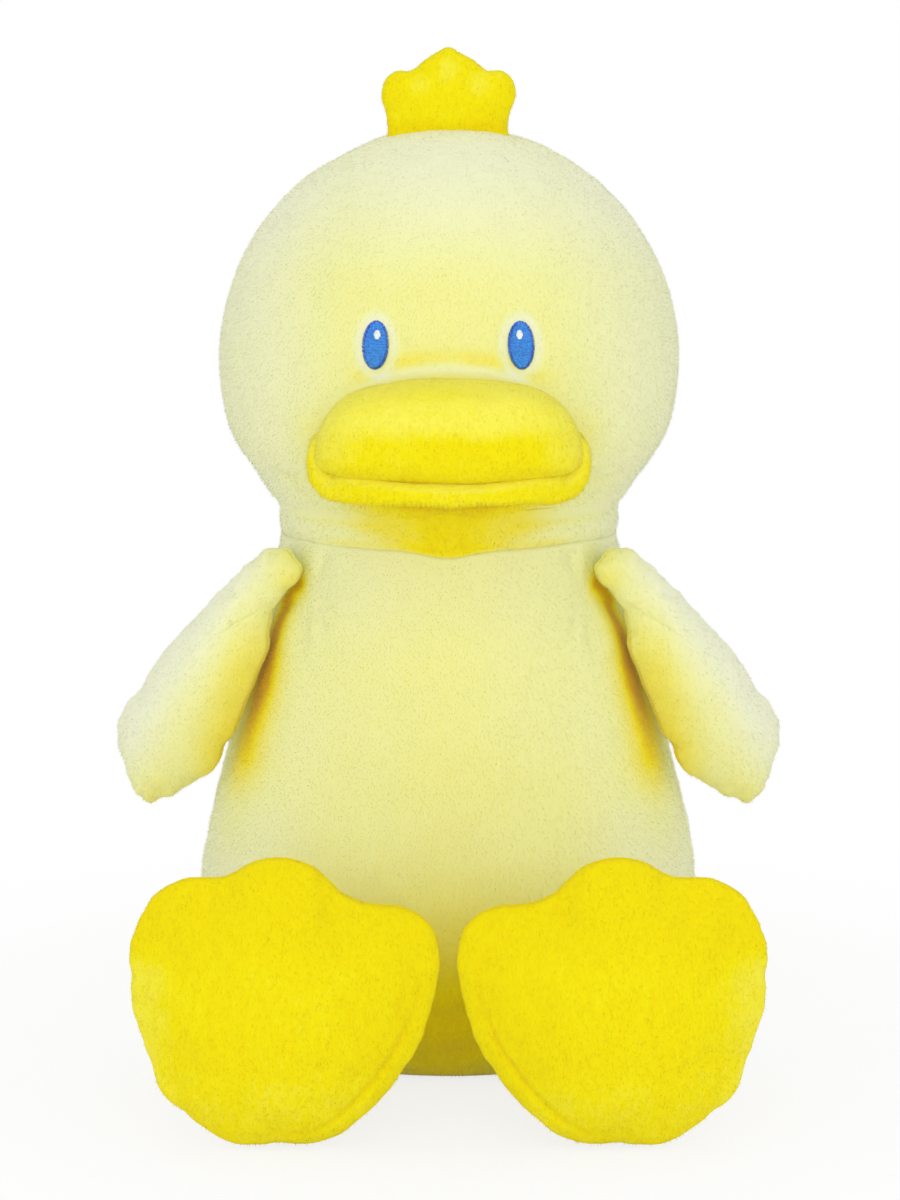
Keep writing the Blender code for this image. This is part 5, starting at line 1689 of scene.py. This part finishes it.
def make_stage():
    """The pale floor, soft studio light, white surround and the camera."""
    scene = bpy.context.scene
    mesh = bpy.data.meshes.new("studio_floor")
    corners = [(x * FLOOR_SIZE, y * FLOOR_SIZE, 0) for x, y in ((-1, -1), (1, -1), (1, 1), (-1, 1))]
    mesh.from_pydata(corners, [], [(0, 1, 2, 3)])
    mesh.materials.append(floor_material())
    floor = put("studio_floor", mesh)
    floor.location.z = FLOOR_LEVEL

    aim = bpy.data.objects["body:torso"].location.copy()
    aim.z = AIM_LEVEL
    for name, place, power, width in LAMPS:
        lamp = bpy.data.lights.new(name, "AREA")
        lamp.energy = power
        lamp.size = width
        lamp.color = LAMP_COLOUR
        holder = put(name, lamp)
        holder.location = place
        holder.rotation_euler = (aim - holder.location).to_track_quat("-Z", "Y").to_euler()
    scene.world = studio_world()

    camera = bpy.data.cameras.new("camera")
    camera.sensor_fit = "VERTICAL"
    camera.sensor_height = CAMERA_SENSOR
    camera.lens = CAMERA_LENS
    camera.clip_start = 0.05
    viewer = put("camera", camera)
    viewer.location = CAMERA_PLACE
    viewer.rotation_euler = (CAMERA_TILT, 0.0, 0.0)
    scene.camera = viewer
    scene.view_settings.view_transform = "Standard"


STEPS = (
    ("head", "Head", dress_head),
    ("bill", "Bill", dress_bill),
    ("crest", "Crest", dress_crest),
    ("neck", "Neck band", dress_neck),
    ("torso", "Body", dress_torso),
    ("tail", "Tail", dress_tail),
    ("wings", "Wings", dress_wings),
    ("legs", "Legs", dress_legs),
    ("feet", "Feet", dress_feet),
    ("eyes", "Embroidered eyes", dress_eyes),
    ("stage", "Floor, light and camera", make_stage),
)


def make_operator(step, label, work):
    def execute(self, context):
        work()
        return {"FINISHED"}

    return type("DUCK_OT_" + step, (bpy.types.Operator,), {
        "bl_idname": "plush_duck." + step,
        "bl_label": label,
        "__doc__": work.__doc__,
        "execute": execute,
    })


OPERATORS = [make_operator(*step) for step in STEPS]


class DUCK_PT_panel(bpy.types.Panel):
    """Lists the duck's pieces and settings."""

    bl_label = "Plush duck"
    bl_idname = "DUCK_PT_panel"
    bl_space_type = "VIEW_3D"
    bl_region_type = "UI"
    bl_category = "Duck"

    def draw(self, context):
        for step, label, _ in STEPS:
            self.layout.operator("plush_duck." + step, text=label)
        duck = context.scene.plush_duck
        for group in (duck.form, duck.cloth, duck.colours):
            box = self.layout.box()
            for key in group.__annotations__:
                box.prop(group, key)


CLASSES = [DuckForm, DuckCloth, DuckColours, DuckSettings, *OPERATORS, DUCK_PT_panel]


def register():
    for item in CLASSES:
        bpy.utils.register_class(item)
    bpy.types.Scene.plush_duck = bpy.props.PointerProperty(type=DuckSettings)


def unregister():
    del bpy.types.Scene.plush_duck
    for item in reversed(CLASSES):
        bpy.utils.unregister_class(item)


def main():
    register()
    for step, _, _ in STEPS:
        getattr(bpy.ops.plush_duck, step)()


if __name__ == "__main__":
    main()
